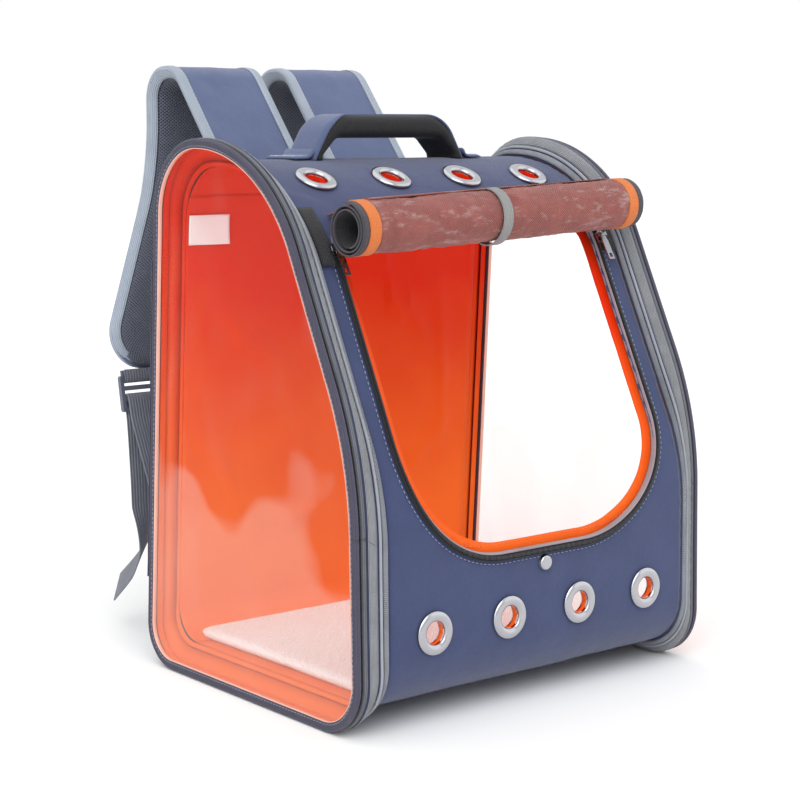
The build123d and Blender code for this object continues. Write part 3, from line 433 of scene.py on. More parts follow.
HOOP_STEP = 1.5
_, hoop_counts = rounded(HOOP, step=HOOP_STEP)
wrap_points, _ = rounded(WRAP, counts=hoop_counts)
wrap = Loop(wrap_points)
marks = np.concatenate([[0], np.cumsum(hoop_counts)])


def wrap_s(mark, column, value):
    """Arc length on one line or arc of the wrap where a coordinate has a value."""
    rows = np.arange(marks[mark], marks[mark + 1] + 1) % len(wrap_points)
    lengths = np.where(rows == 0, wrap.length if mark > 4 else 0.0, wrap.s[rows])
    values = wrap_points[rows, column]
    order = np.argsort(values)
    return float(np.interp(value, values[order], lengths[order]))


def back_s(z):
    """Arc length at a height on the back, or on the arc above it."""
    return wrap_s(4 if z < wrap_points[marks[5], 1] else 5, 1, z)


s_base_front = wrap_s(2, 0, BASE_FRONT)
s_base_back = wrap_s(2, 0, BASE_BACK)
s_back_seam = back_s(BACK_SEAM)

# Height to arc length on the front, from the foot arc up to the crown
front_rows = np.arange(marks[7], len(wrap_points) + marks[2])
past_end = front_rows >= len(wrap_points)
front_rows = front_rows % len(wrap_points)
front_z = wrap_points[front_rows, 1]
front_s = wrap.s[:-1][front_rows] + np.where(past_end, wrap.length, 0)


def front_at(x, z, lift=0.0):
    """Points and normals on the wrap's front at (x, z), lifted off its face."""
    p, n = wrap.at(np.interp(-np.asarray(z, float), -front_z, front_s), lift)
    return xyz(x, p), xyz(0.0 * np.asarray(x), n)


def laid_on_front(line, lift, closed):
    """A flat outline laid on the front: its points, the directions across it and the normals."""
    p, n = front_at(line[:, 0], line[:, 1], lift)
    return p, unit(np.cross(tangents(p, closed), n)), n


BACK_FOOT, BACK_TOP = (np.array(WRAP[k][:2]) for k in (1, 2))
LEAN = unit(BACK_TOP - BACK_FOOT)
BACK_NORMAL = np.array([0.0, LEAN[1], -LEAN[0]])
BACK_UP = np.array([0.0, LEAN[0], LEAN[1]])


def back_y(z):
    run, rise = BACK_TOP - BACK_FOOT
    return BACK_FOOT[0] + run * (z - BACK_FOOT[1]) / rise


def on_back(x, z, lift):
    """Points on the leaning back at (x, z), lifted off its face."""
    face = np.stack(np.broadcast_arrays(x, back_y(z), z), -1)
    return face + BACK_NORMAL * np.asarray(lift)[..., None]


def soft_noise(p, scale, seed):
    """Smooth noise made of a few slanted waves, mostly between -1 and 1."""
    draw = np.random.default_rng(100 + seed)
    total = np.zeros(p.shape[:-1])
    for k in range(7):
        way = unit(draw.normal(size=3)) * (0.6 + 0.9 * draw.random())
        total += np.sin(p @ way * 2 * math.pi / scale + draw.random() * 6.28 + 1.3 * np.sin(total))
    return total / 4.0


def dome(edge, reach):
    """A quarter-round rise from 0 at the edge to 1 at its reach."""
    return np.sqrt(np.clip(1 - (1 - np.minimum(edge / reach, 1)) ** 2, 0, 1))


# ---------------------------------------------------------------- mesh kit
# A part is its points, its faces and its UV, one row for each point.


def link(name, data):
    """Object of some data, in the scene."""
    obj = bpy.data.objects.new(name, data)
    bpy.context.scene.collection.objects.link(obj)
    return obj


def write_uv(mesh, uv):
    """Write a UV, given by vertex in millimetres, on every corner of a mesh."""
    layer = mesh.uv_layers.active or mesh.uv_layers.new(name="UVMap")
    index = np.zeros(len(mesh.loops), int)
    mesh.loops.foreach_get("vertex_index", index)
    layer.data.foreach_set("uv", (uv[index] * MM).ravel())


def make(name, part, look, replaces=(), body="carrier"):
    """Mesh object from a part in local millimetres, with its look's material."""
    points, faces, uv = part
    mesh = bpy.data.meshes.new(name)
    mesh.from_pydata(((points - [0.0, DEPTH_ORIGIN, 0.0]) * MM).tolist(), [], faces)
    mesh.validate()
    write_uv(mesh, uv)
    mesh.polygons.foreach_set("use_smooth", [True] * len(mesh.polygons))
    mesh.update()
    obj = link(name, mesh)
    mesh.materials.append(LOOKS[look])
    if body:
        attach(obj, body)
    if replaces:
        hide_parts(*replaces)
    return obj


def solidify(obj, thickness, offset=0.0):
    wall = obj.modifiers.new("wall", "SOLIDIFY")
    wall.thickness = thickness * MM
    wall.offset = offset
    return obj


def merged(parts):
    """Several parts as one."""
    points, faces, uvs = [], [], []
    base = 0
    for p, f, uv in parts:
        points.append(p)
        uvs.append(uv)
        faces += [tuple(i + base for i in face) for face in f]
        base += len(p)
    return np.vstack(points), faces, np.vstack(uvs)


def mirrored(part):
    """The same part on the other side of the carrier."""
    p, faces, uv = part
    return p * [-1.0, 1.0, 1.0], turned(faces), uv


def join(name, parts, look, replaces=()):
    """One object of several parts."""
    return make(name, merged(parts), look, replaces)


def both(name, part, look, replaces=()):
    """One object of a part and its mirror image."""
    return join(name, [part, mirrored(part)], look, replaces)


def split_sides(name, part, look, node=None, on_doors=False):
    """The left and right pieces of a pair, as two objects."""
    made = []
    for side, one in (("left_", part), ("right_", mirrored(part))):
        made.append(make(side + name, one, look, [side + node] if node else (),
                         side + "door" if on_doors else "carrier"))
    return made


def turned(faces):
    return [face[::-1] for face in faces]


def grid_faces(rows, columns, close_rows=False, close_columns=False, base=0):
    """Quads of a grid of points, closed end to start where asked."""
    faces = []
    for i in range(rows if close_rows else rows - 1):
        this, later = base + i * columns, base + (i + 1) % rows * columns
        for j in range(columns if close_columns else columns - 1):
            beside = (j + 1) % columns
            faces.append((this + j, this + beside, later + beside, later + j))
    return faces


def flat_uv(u, v):
    return np.stack(np.broadcast_arrays(u, v), -1).reshape(-1, 2)


def skin(p, u, v, flip=False):
    """Part over a grid of points."""
    faces = grid_faces(*p.shape[:2])
    return p.reshape(-1, 3), turned(faces) if flip else faces, flat_uv(u, v)


def closed_pad(top, bottom, u, v, flip=False):
    """Closed part of matching top and bottom grids, joined round the rim."""
    nz, nx = top.shape[:2]
    size = nx * nz
    faces = grid_faces(nz, nx) + turned(grid_faces(nz, nx, base=size))
    rim = (list(range(nx)) + [r * nx + nx - 1 for r in range(1, nz)]
           + [(nz - 1) * nx + i for i in range(nx - 2, -1, -1)] + [r * nx for r in range(nz - 2, 0, -1)])
    faces += [(b, a, a + size, b + size) for a, b in zip(rim, rim[1:] + rim[:1])]
    points = np.concatenate([top.reshape(-1, 3), bottom.reshape(-1, 3)])
    return points, turned(faces) if flip else faces, np.concatenate([flat_uv(u, v)] * 2)


def tube(rings, closed=False):
    """Part over a row of closed rings (N, K, 3), capped unless the row closes."""
    count, size = rings.shape[:2]
    faces = grid_faces(count, size, closed, True)
    if not closed:
        faces.append(tuple(range(size))[::-1])
        faces.append(tuple((count - 1) * size + k for k in range(size)))
    around = np.linalg.norm(np.roll(rings, -1, 1) - rings, axis=2).mean(0)
    around = np.concatenate([[0], np.cumsum(around)[:-1]])
    return rings.reshape(-1, 3), faces, flat_uv(around, arc_length(rings.mean(1))[:, None])


def rounded_section(width, height, radius, steps=4):
    """Closed rounded rectangle about the origin, (across, lift) points."""
    points = []
    for cx, cy, start in ((1, 1, 0), (-1, 1, 90), (-1, -1, 180), (1, -1, 270)):
        for k in range(steps + 1):
            angle = math.radians(start + 90 * k / steps)
            points.append((cx * (width / 2 - radius) + radius * math.cos(angle),
                           cy * (height / 2 - radius) + radius * math.sin(angle)))
    return np.array(points)


def round_section(radius_across, radius_lift, steps):
    angles = np.arange(steps) * 2 * math.pi / steps
    return np.stack([radius_across * np.cos(angles), radius_lift * np.sin(angles)], -1)


def sweep(points, across, lift, section, closed=False):
    """Part of one section, or of one for each point, carried along a line."""
    section = np.asarray(section, float)
    if section.ndim == 2:
        section = np.broadcast_to(section, (len(points),) + section.shape)
    rings = points[:, None] + across[:, None] * section[..., :1] + lift[:, None] * section[..., 1:]
    return tube(rings, closed)


STITCH_WIDTH = 0.5
STITCH_OUTLINE = np.array([(-1, 0), (-0.55, 1), (0.55, 1), (1, 0), (0.55, -1), (-0.55, -1)])


def stitch_row(points, normals, pitch, length, height, closed=False):
    """Raised stitches along a line on a surface, as small lozenge threads."""
    places, _ = resample(np.hstack([points, np.broadcast_to(normals, points.shape)]), pitch, closed)
    p, n = places[:, :3], unit(places[:, 3:])
    t = tangents(p, closed)
    b = unit(np.cross(t, n))
    p, n, t, b = (v[:, None] for v in (p, n, t, b))
    base = p + t * STITCH_OUTLINE[:, :1] * length / 2 + b * STITCH_OUTLINE[:, 1:] * STITCH_WIDTH / 2
    crest = base - (base - p) * 0.35 + n * height
    rings = np.concatenate([base - n * 0.15, crest], 1).reshape(-1, 3)
    faces = []
    for o in range(0, len(rings), 12):
        faces += [(o + k, o + (k + 1) % 6, o + 6 + (k + 1) % 6, o + 6 + k) for k in range(6)]
        faces.append(tuple(o + 6 + k for k in range(6)))
    return rings, faces, rings[:, :2]


def box_stitch(origin, across, up, normal, width, height, cross=False):
    """Box of stitches, with its diagonals where asked, on a flat patch."""
    corners = [origin + across * i * width / 2 + up * j * height / 2
               for i, j in ((-1, -1), (1, -1), (1, 1), (-1, 1))]
    lines = [(corners[k], corners[(k + 1) % 4]) for k in range(4)]
    if cross:
        lines += [(corners[0], corners[2]), (corners[1], corners[3])]
    share = np.arange(11)[:, None] / 10
    return [patch_stitches(start + (end - start) * share, normal) for start, end in lines]


def patch_stitches(line, normal):
    return stitch_row(line, normal, pitch=2.8, length=2.0, height=0.22)


# ---------------------------------------------------------------- the wrap's panels

EYELET_XS = (-90.0, -30.0, 30.0, 90.0)
EYELET_HOLE = 9.2
high_tilt = math.radians(27.0)
high_normal = np.array([0.0, -math.sin(high_tilt), math.cos(high_tilt)])
high_face = np.array([0.0, 138.72, 224.5]) + 113.0 * high_normal
EYELET_ROWS = {"lower": front_at(0.0, 59.0), "upper": (high_face, high_normal)}


def eyelet_centres():
    """The CAD eyelets' own centres."""
    rows = []
    for node in ("lower_eyelets", "upper_eyelets"):
        low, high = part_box(node)
        y, z = ((low[k] + high[k]) / 2 / MM for k in (1, 2))
        rows += [(x, y + DEPTH_ORIGIN, z) for x in EYELET_XS]
    return np.array(rows)


EYELETS = eyelet_centres()


def window_distance(x, z, grow=0.0):
    """Signed distance from the window's outline, negative inside."""
    x0, z0, r_low = WINDOW[0]
    x1, z1, r_high = WINDOW[2]
    middle = (z0 + z1) / 2
    r = np.where(z < middle, r_low + grow, max(r_high + grow, 1.0))
    qx = np.abs(x - (x0 + x1) / 2) - ((x1 - x0) / 2 + grow) + r
    qz = np.abs(z - middle) - ((z1 - z0) / 2 + grow) + r
    return np.hypot(np.maximum(qx, 0), np.maximum(qz, 0)) + np.minimum(np.maximum(qx, qz), 0) - r


def four_corners(grid):
    return grid[:-1, :-1], grid[1:, :-1], grid[:-1, 1:], grid[1:, 1:]


def cell_mean(grid):
    return sum(four_corners(grid)) / 4


def touches(cells):
    """The grid points that are corners of any marked cell."""
    return np.logical_or.reduce(four_corners(np.pad(cells, 1)))


def cut_window(x, s, keep, step, grow):
    """Cut the window out of a panel's grid, and draw the points beside it onto its outline."""
    on_front = (s % wrap.length < s_base_front + 1) | (s > s_back_seam + 60)
    nudge = 0.1
    for turn in range(3):
        p, n = wrap.at(s)
        y, z = p[..., 0], p[..., 1]
        d = np.where(on_front & (y < FRONT_DEPTH), window_distance(x, z, grow), 99.0)
        if turn == 0:
            keep &= cell_mean(d) > 0
        gx = window_distance(x + nudge, z, grow) - window_distance(x - nudge, z, grow)
        gz = window_distance(x, z + nudge, grow) - window_distance(x, z - nudge, grow)
        beside = touches(~keep) & touches(keep) & (np.abs(d) < step * 2.5)
        rise = np.maximum(np.abs(n[..., 0]), 0.3)
        x = np.where(beside, x - gx / (2 * nudge) * d, x)
        s = np.where(beside, s + gz / (2 * nudge) * d / rise, s)
    return x, s


def panel(name, node, kind, ends, relief, step=3.0, window=None, eyelets=False):
    """Panel of one kind (look, lift and wall) round the wrap, with its window, holes and relief."""
    look, lift, wall = kind
    columns = int(round(2 * HALF / step)) + 1
    rows = int(round((ends[1] - ends[0]) / step)) + 1
    x, s = np.meshgrid(np.linspace(HALF, -HALF, columns), np.linspace(*ends, rows))
    keep = np.ones((rows - 1, columns - 1), bool)
    if window is not None:
        x, s = cut_window(x, s, keep, step, window)
    face = xyz(x, wrap.at(s)[0])
    for place in EYELETS if eyelets else ():
        keep &= cell_mean(np.linalg.norm(face - place, axis=-1)) > EYELET_HOLE
    side_turn = 0.5 * np.exp(-np.minimum(HALF - np.abs(x), 12.0) / 2.5)
    p, _ = wrap.at(s, lift - side_turn + relief(face, s))
    faces = [f for f, k in zip(grid_faces(rows, columns), keep.ravel()) if k]
    used = sorted({i for f in faces for i in f})
    index = {old: new for new, old in enumerate(used)}
    faces = [tuple(index[i] for i in f) for f in faces]
    part = (xyz(x, p).reshape(-1, 3)[used], faces, flat_uv(x, s)[used])
    solidify(make(name, part, look, [node]), wall, -1.0)


def navy_relief(p, s):
    """Slack of the padded cloth, drawn in along the window and the side seams."""
    x, y, z = np.moveaxis(p, -1, 0)
    near_window = np.where(y < FRONT_DEPTH, np.exp(-np.maximum(window_distance(x, z), 0) / 7.0), 0.0)
    pull = np.sin(p @ np.array([0.9, 0.5, 0.8]) * 2 * math.pi / 11.0)
    side = np.exp(-(HALF - np.abs(x)) / 7.0)
    seam = np.sin(s * 2 * math.pi / 9.5 + 0.7 * np.sin(s / 23.0))
    calm = 1.0
    for place in EYELETS:
        calm = calm * (1 - np.exp(-(np.linalg.norm(p - place, axis=-1) / 17.0) ** 4))
    relief = 0.35 * soft_noise(p, 95.0, 1) + 0.12 * soft_noise(p, 30.0, 2)
    relief += 0.10 * pull * near_window + 0.14 * seam * side
    return relief * calm - 0.45 - 0.35 * near_window


def lining_relief(p, s):
    return -0.35 - np.abs(0.5 * soft_noise(p, 70.0, 3) + 0.2 * soft_noise(p, 26.0, 4)) * 0.7


def faint_relief(height, sink, scale, seed):
    return lambda p, s: height * soft_noise(p, scale, seed) - sink


# Slack folds of the back lining: place, height, lean, width, reach and rise
LINING_FOLDS = ((-70.0, 215.0, 0.9, 5.0, 42.0, 2.4), (-20.0, 245.0, -0.5, 6.0, 36.0, 2.0),
                (-85.0, 120.0, 0.5, 6.0, 40.0, 2.2), (10.0, 150.0, 1.1, 7.0, 55.0, 2.2),
                (60.0, 230.0, 0.6, 6.0, 45.0, 2.2), (75.0, 120.0, -0.8, 7.0, 45.0, 2.0),
                (-30.0, 85.0, 1.3, 6.0, 34.0, 1.8), (95.0, 180.0, 0.1, 5.0, 50.0, 1.8))


def back_inner_relief(p, s):
    x, _, z = np.moveaxis(p, -1, 0)
    rise = np.clip((z - 26.0) / 25.0, 0, 1) * np.clip((HALF - np.abs(x)) / 25.0, 0, 1)
    drift = 9.0 * soft_noise(p, 120.0, 9)
    folds = 0.0
    for at, level, lean, wide, reach, height in LINING_FOLDS:
        across = (x - at) * math.cos(lean) + (z - level) * math.sin(lean) + drift
        along = (z - level) * math.cos(lean) - (x - at) * math.sin(lean)
        folds = folds + height * np.exp(-(across / wide) ** 2) * np.exp(-(along / reach) ** 2)
    folds = folds + 0.5 * np.abs(soft_noise(p, 52.0, 10))
    return -0.5 - 0.45 * np.abs(soft_noise(p, 88.0, 6)) - rise * folds


PADDED, THIN, SATIN = ("navy_canvas", 0.0, 2.6), ("navy_canvas", 0.0, 1.0), ("orange_lining", -LINING, 0.7)
front_ends = (s_back_seam, wrap.length + s_base_front)
back_ends = (s_base_back, s_back_seam)
base_ends = (s_base_front + 0.4, s_base_back - 0.4)
panel("front_top_cloth", "front_top_panel", PADDED, front_ends, navy_relief, 2.5, 0.0, True)
panel("front_top_inner", "front_top_lining", SATIN, front_ends, lining_relief, 3.0, -7.0, True)
panel("back_cloth", "back_panel", PADDED, back_ends, faint_relief(0.3, 0.35, 80.0, 5))
panel("back_inner", "back_lining", SATIN, back_ends, back_inner_relief)
panel("base_cloth", "base_panel", THIN, base_ends, faint_relief(0.15, 0.15, 60.0, 7))
panel("base_inner", "base_lining", SATIN, base_ends, faint_relief(0.1, 0.1, 60.0, 8))

# ---------------------------------------------------------------- gussets and side hoops


def hoop_steps(step):
    return [max(2, int(round(count * HOOP_STEP / step))) for count in hoop_counts]


def gusset_strip(section, step=2.5, relief=None):
    """Closed band on the left gusset; its section holds (millimetres from the wrap, lift) points."""
    outer, inner = (rounded(corners, counts=hoop_steps(step))[0] for corners in (HOOP, WRAP))
    h, w = xyz(-RIM_START, outer), xyz(-HALF, inner)
    t = tangents((h + w) / 2)
    n = unit(np.cross(h - w, t))
    n = n * np.sign((n * xyz(0.0, outward(t[:, 1:]))).sum(-1, keepdims=True))
    section = np.asarray(section, float)
    rings = w[:, None] + (h - w)[:, None] * (section[:, 0] / GUSSET)[None, :, None]
    lift = np.broadcast_to(section[:, 1], rings.shape[:2]).copy()
    if relief is not None:
        lift += relief(arc_length((w + h) / 2)[:, None], *section.T[:, None])
    return tube(rings + n[:, None] * lift[..., None], closed=True)


def band(start, width, low, high, steps=6, crown=0.0):
    """Section of a flat band with softly rounded edges."""
    top = [(start + width * a, high + crown * (1 - (2 * a - 1) ** 2) - 0.35 * abs(2 * a - 1) ** 6)
           for a in np.linspace(0, 1, steps + 1)]
    return top[::-1] + [(start, low), (start + width, low)]


def braid_relief(s, across, lift):
    return np.where(lift > 0.5, 0.35 * np.abs(np.sin(s * math.pi / 2.6 + across * 0.8)) - 0.2, 0.0)


def tape_relief(s, across, lift):
    pull = np.sin(s * 2 * math.pi / 6.4 + 2.2 * np.sin(s / 17.0) + across * 0.35)
    return np.where(lift > 0.5, 0.16 * pull + 0.10 * np.sin(s * 2 * math.pi / 2.9), 0.0)


split_sides("gusset_cloth", gusset_strip(band(0.0, GUSSET, -2.0, 0.0, 4)), "gusset_cloth", "gusset")
inner_strips = merged([gusset_strip(band(0.2, GUSSET - 0.4, -3.0, -2.2, 4)),
                       gusset_strip(band(-1.6, 2.6, -4.8, -2.9, 4))])
both("gusset_inner", inner_strips, "orange_lining", ["gusset_linings"])
braid = gusset_strip(band(0.5, 3.0, 0.15, 1.5, 6, 0.4), 0.9, braid_relief)
both("edge_braid_cloth", braid, "grey_braid", ["edge_braids"])
piping = gusset_strip(round_section(0.85, 0.95, 10) + [4.9, 1.15], 2.0)
both("edge_piping_cloth", piping, "grey_piping", ["edge_pipings"])
tape = gusset_strip(band(6.5, 5.5, 0.15, 0.85, 6, 0.35), 1.3, tape_relief)
both("gusset_tape_cloth", tape, "olive_grey_tape", ["gusset_tapes"])


def hoop_line(step):
    """Points of the left hoop's outline at x = 0, and their outward normals."""
    line, _ = rounded(HOOP, counts=hoop_steps(step))
    return xyz(0.0, line), xyz(0.0, outward(tangents(line)))


def hoop_ring(section, step=2.5, section_at=None):
    """Closed band round the left hoop; its section holds (distance out in x, lift off the hoop) points."""
    p, n = hoop_line(step)
    sections = np.broadcast_to(section, (len(p),) + section.shape).copy()
    if section_at is not None:
        sections = section_at(sections, arc_length(p)[:, None])
    return sweep(p, np.broadcast_to(-SIDE, p.shape), n, sections, closed=True)


rim_band = hoop_ring(rounded_section(3.5, 4.6, 1.3, 3) + [RIM_START + 1.75, -2.3])
split_sides("hoop_rim_cloth", rim_band, "rim_cloth", "hoop_rim")
rim_lining = hoop_ring(rounded_section(4.6, 0.5, 0.2, 2) + [RIM_START + 1.2, -4.8])
both("rim_inner_cloth", rim_lining, "orange_lining")

COIL_STEP = 0.45
COIL_PITCH = 0.9


def coil_beat(s):
    """How a zip's coil swells and pinches along its length."""
    return 0.72 + 0.28 * np.abs(np.sin(s * math.pi / COIL_PITCH))


def side_coil(x, lift):
    """Zip coil round the left hoop, left out along the hinge."""
    points, faces, uv = hoop_ring(round_section(0.5, 1.0, 8), COIL_STEP,
                                  lambda sections, s: sections * coil_beat(s)[..., None] + [x, lift])
    _, y, z = points.T
    off_hinge = (y <= HINGE_DEPTH) | (z <= HINGE_LOW) | (z >= HINGE_HIGH)
    return points, [face for face in faces if all(off_hinge[i] for i in face)], uv


both("side_zip_coils", side_coil(RIM_END + 0.5, -1.6), "black_zip", ["side_zip_teeth"])
split_sides("door_zip_coil", side_coil(RIM_END + 0.85, -4.0), "black_zip", "door_teeth", on_doors=True)

# ---------------------------------------------------------------- side doors

DOOR_MIDDLE = DOOR_START + 1.6


def binding_shape(sections, s):
    """The binding's inner half, gathered a little along its length."""
    wobble = 0.10 * np.sin(s / 2.1) + 0.07 * np.sin(s / 5.3)
    x, lift = sections[..., 0], sections[..., 1]
    gathered = DOOR_MIDDLE + (x - DOOR_MIDDLE) * (0.86 + wobble)
    return np.stack([np.where(lift < -4.6, gathered, x), lift], -1)


binding = hoop_ring(rounded_section(3.2, 6.0, 1.2, 4) + [DOOR_MIDDLE, -3.4], 2.0, binding_shape)
split_sides("door_binding_cloth", binding, "dark_binding", "door_binding", on_doors=True)
hoop_points, hoop_normals = hoop_line(2.5)
stitch_line = hoop_points + hoop_normals * -5.0 - SIDE * (DOOR_END + 0.02)
split_sides("door_stitches", stitch_row(stitch_line, -SIDE, pitch=3.2, length=2.2, height=0.2, closed=True),
            "thread", on_doors=True)
# Painted highlight: a pale bead along the sheet's front edge, partly the PVC's welded edge, mostly standing
# in for the light caught there.
highlight_bead = hoop_ring(rounded_section(2.8, 0.5, 0.2, 2) + [DOOR_START + 1.7, -6.6])
split_sides("sheet_highlight_bead", highlight_bead, "edge_highlight_bead", on_doors=True)


def door_sheet():
    """Clear sheet with slow ripples, fixed in its binding all round."""
    line, _ = rounded(HOOP, step=7.0)
    edge = line - outward(tangents(line)) * 2.2
    middle = np.array([95.0, 165.0])
    shares = 1 - np.linspace(0, 1, 26)[:-1]
    rings = middle + (edge - middle)[None] * shares[:, None, None]
    grid = np.vstack([rings.reshape(-1, 2), middle[None]])
    count = len(edge)
    last = (len(shares) - 1) * count
    faces = grid_faces(len(shares), count, close_columns=True)
    faces += [(last + k, last + (k + 1) % count, len(grid) - 1) for k in range(count)]
    share = np.append(np.repeat(shares, count), 0.0)
    q = xyz(0.0, grid)
    wave = 0.55 * soft_noise(q, 170.0, 11) + 0.14 * soft_noise(q, 60.0, 12)
    crease = -0.5 * np.exp(-((grid[:, 0] - (190 - grid[:, 1] * 21 / 351)) / 2.2) ** 2)
    ripple = (wave + crease) * np.clip((1 - share) * 7, 0, 1) * 0.8
    return xyz(-(SHEET + 0.45) - ripple, grid), faces, grid


sheets = split_sides("clear_sheet", door_sheet(), "clear_pvc", "door_sheet", True)
for sheet in sheets:
    solidify(sheet, 0.5)


def hinge_strip():
    """Fabric hinge between the hoop's back edge and the door's binding."""
    z, u = np.meshgrid(np.linspace(HINGE_LOW - 1, 272.0, 66), np.linspace(0, 1, 9), indexing="ij")
    foot_y, top_y, top_z = HOOP[1][0], HOOP[2][0], HOOP[2][1]
    y = foot_y - (foot_y - top_y) * z / top_z + 0.35
    y = y + 0.5 * np.sin(math.pi * u) ** 2 + 0.1 * np.sin(z / 3.0)
    x = -(RIM_START + 0.6 + 7.4 * u)
    return skin(np.stack([x, y, z], -1), x, z)


for side, sign, part in (("left", -1, hinge_strip()), ("right", 1, mirrored(hinge_strip()))):
    strip = make(side + "_hinge_cloth", part, "dark_binding", [side + "_hinge_tape"], body=None)
    solidify(strip, 0.5)
    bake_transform(strip)

# ---------------------------------------------------------------- front window


def window_line(grow, lift, step=1.5, top=286.0):
    """Line round the window's sides and bottom, laid on the front."""
    x, z, r = WINDOW[1][0] + grow, WINDOW[1][1] - grow, WINDOW[1][2] + grow
    line, _ = rounded([(-x, 330.0, 0), (-x, z, r), (x, z, r), (x, 330.0, 0)], step=step, closed=False)
    return laid_on_front(line[line[:, 1] <= top], lift, False)


def full_window_line(grow, lift):
    corners = [(x + math.copysign(grow, x), z + (grow if z > 200 else -grow), max(r + grow, 1.0))
               for x, z, r in WINDOW]
    return laid_on_front(rounded(corners, step=1.5)[0], lift, True)


zip_tape = sweep(*window_line(2.3, 0.75), rounded_section(4.0, 0.8, 0.35, 2))
make("window_zip_cloth", zip_tape, "black_tape", ["window_zip_tape"])
p, b, n = window_line(1.8, 1.75, COIL_STEP)
beat = coil_beat(np.arange(len(p)) * COIL_STEP)[:, None, None]
zip_coil = sweep(p, b, n, round_section(1.25, 0.7, 8) * beat)
make("window_zip_coil", zip_coil, "black_zip", ["window_zip_teeth"])
edge_binding = sweep(*full_window_line(-0.7, -1.1), rounded_section(1.3, 4.4, 0.6, 3), closed=True)
make("window_edge_cloth", edge_binding, "tan_binding", ["window_edge"])
p, _, n = window_line(5.9, 0.05, 1.5, 296.0)
make("window_stitches", stitch_row(p, n, pitch=3.4, length=2.3, height=0.25), "thread")
p, _, n = full_window_line(-6.0, -LINING + 0.05)
make("window_flap_stitches", stitch_row(p, n, pitch=3.4, length=2.3, height=0.2, closed=True),
     "orange_thread")


def shadow_garage():
    """Patch where an end of the window zip is sewn in, its dark colour also a painted shadow at the window's
    top corner.
    """
    width, height = 11.4, 33.3
    u, v = np.meshgrid(np.linspace(0, 1, 9), np.linspace(0, 1, 20))
    x, z = -112.6 - width * u, 274.9 + height * v
    edge = np.minimum(np.minimum(u, 1 - u) * width, np.minimum(v, 1 - v) * height)
    lift = 1.55 + 0.35 * (1 - np.exp(-edge / 1.4))
    p, n = front_at(x, z)
    return skin(p + n * lift[..., None], x, z, flip=True)


# Painted shadow: the dark garages also stand in for the shade behind the ends of the roll.
solidify(both("zip_garage_shadow_cloth", shadow_garage(), "black_tape", ["zip_garages"]), 0.7, -1.0)

# ---------------------------------------------------------------- rolled curtain

ROLL_A = np.array([-119.5, 17.968, 297.5])
ROLL_B = np.array([119.5, 24.012, 307.0])
ROLL_ALONG = unit(ROLL_B - ROLL_A)
ROLL_FORE = unit(np.cross([0, 0, 1.0], ROLL_ALONG))
ROLL_UP = unit(np.cross(ROLL_ALONG, ROLL_FORE))
ROLL_TURNS = 2.5
ROLL_INNER, ROLL_OUTER = 11.2, 16.9
CURTAIN_HALF, BINDING_END, TAPE_END = 106.2, 114.8, 119.6


def roll_centre(x):
    return ROLL_A + (ROLL_B - ROLL_A) * np.asarray((x - ROLL_A[0]) / (ROLL_B[0] - ROLL_A[0]))[..., None]


def round_roll(x, radius, angle):
    """Points at a radius and an angle about the roll's axis."""
    way = np.cos(angle)[..., None] * ROLL_FORE + np.sin(angle)[..., None] * ROLL_UP
    return roll_centre(x) + np.asarray(radius)[..., None] * way


def roll_sheet(x_start, x_end, grow=0.0, step=2.2, wrinkles=1.0):
    """The wound curtain: a spiral section carried along the roll, with slack creases."""
    xs = np.linspace(x_start, x_end, max(2, int(abs(x_end - x_start) / step) + 1))
    x, turn = np.meshgrid(xs, np.linspace(0, ROLL_TURNS, 101))
    angle = -turn * 2 * math.pi + math.pi * 1.45
    probe = np.stack([x, 13 * np.cos(angle) + 40 * turn, 13 * np.sin(angle)], -1)
    slack = soft_noise(probe * np.array([0.4, 1, 1]), 13.0, 21) * 0.42 + soft_noise(probe, 36.0, 22) * 0.4
    slack = slack + 0.3 * soft_noise(probe, 6.5, 23)
    tie_pinch = 0.9 * np.exp(-((x + 4) / 9.0) ** 2) * (turn > 1.4)
    radius = ROLL_INNER + (ROLL_OUTER - ROLL_INNER) * turn / ROLL_TURNS + grow
    radius = radius - tie_pinch + wrinkles * slack * np.clip(turn - 0.3, 0, 1) - 0.35
    return skin(round_roll(x, radius, angle), x, turn * 90.0)


curtain = make("curtain_cloth", roll_sheet(-CURTAIN_HALF, CURTAIN_HALF), "red_brown_mesh",
               ["curtain_mesh"])
solidify(curtain, 0.7)
for name, start, end, grow, look, node, wall in (
        ("curtain_binding_cloth", CURTAIN_HALF, BINDING_END, 0.25, "orange_binding",
         "curtain_bindings", 1.1),
        ("curtain_zip_cloth", BINDING_END, TAPE_END, 0.0, "grey_tape", "curtain_zip_tapes", 1.0)):
    ends = [roll_sheet(-end, -start, grow, 1.4, 0.25), roll_sheet(start, end, grow, 1.4, 0.25)]
    solidify(join(name, ends, look, [node]), wall)

# Painted shade: a black sleeve inside the roll's hollow makes its ends look dark.
for side, name in ((-1, "left"), (1, "right")):
    xs = np.linspace(119.3 * side, 84.0 * side, 14)[:, None]
    turns = np.linspace(0, 2 * math.pi, 33)[None, :]
    hollow_shade = skin(round_roll(xs, 10.75, turns), turns * 11, xs)
    solidify(make("curtain_hollow_shade_" + name, hollow_shade, "black_zip"), 0.3)


def tangent_path(x, reach, anchor_z, lift, steps):
    """Straight run from the front's face to the roll, the angle where it touches, and the roll's centre."""
    centre = roll_centre(x)[1:]
    anchor = front_at(x, anchor_z, lift)[0][1:]
    gap = anchor - centre
    angle = math.atan2(gap[1], gap[0]) + math.acos(reach / np.linalg.norm(gap))
    touch = centre + reach * np.array([math.cos(angle), math.sin(angle)])
    return [anchor + (touch - anchor) * k / steps for k in range(steps + 1)], angle, centre


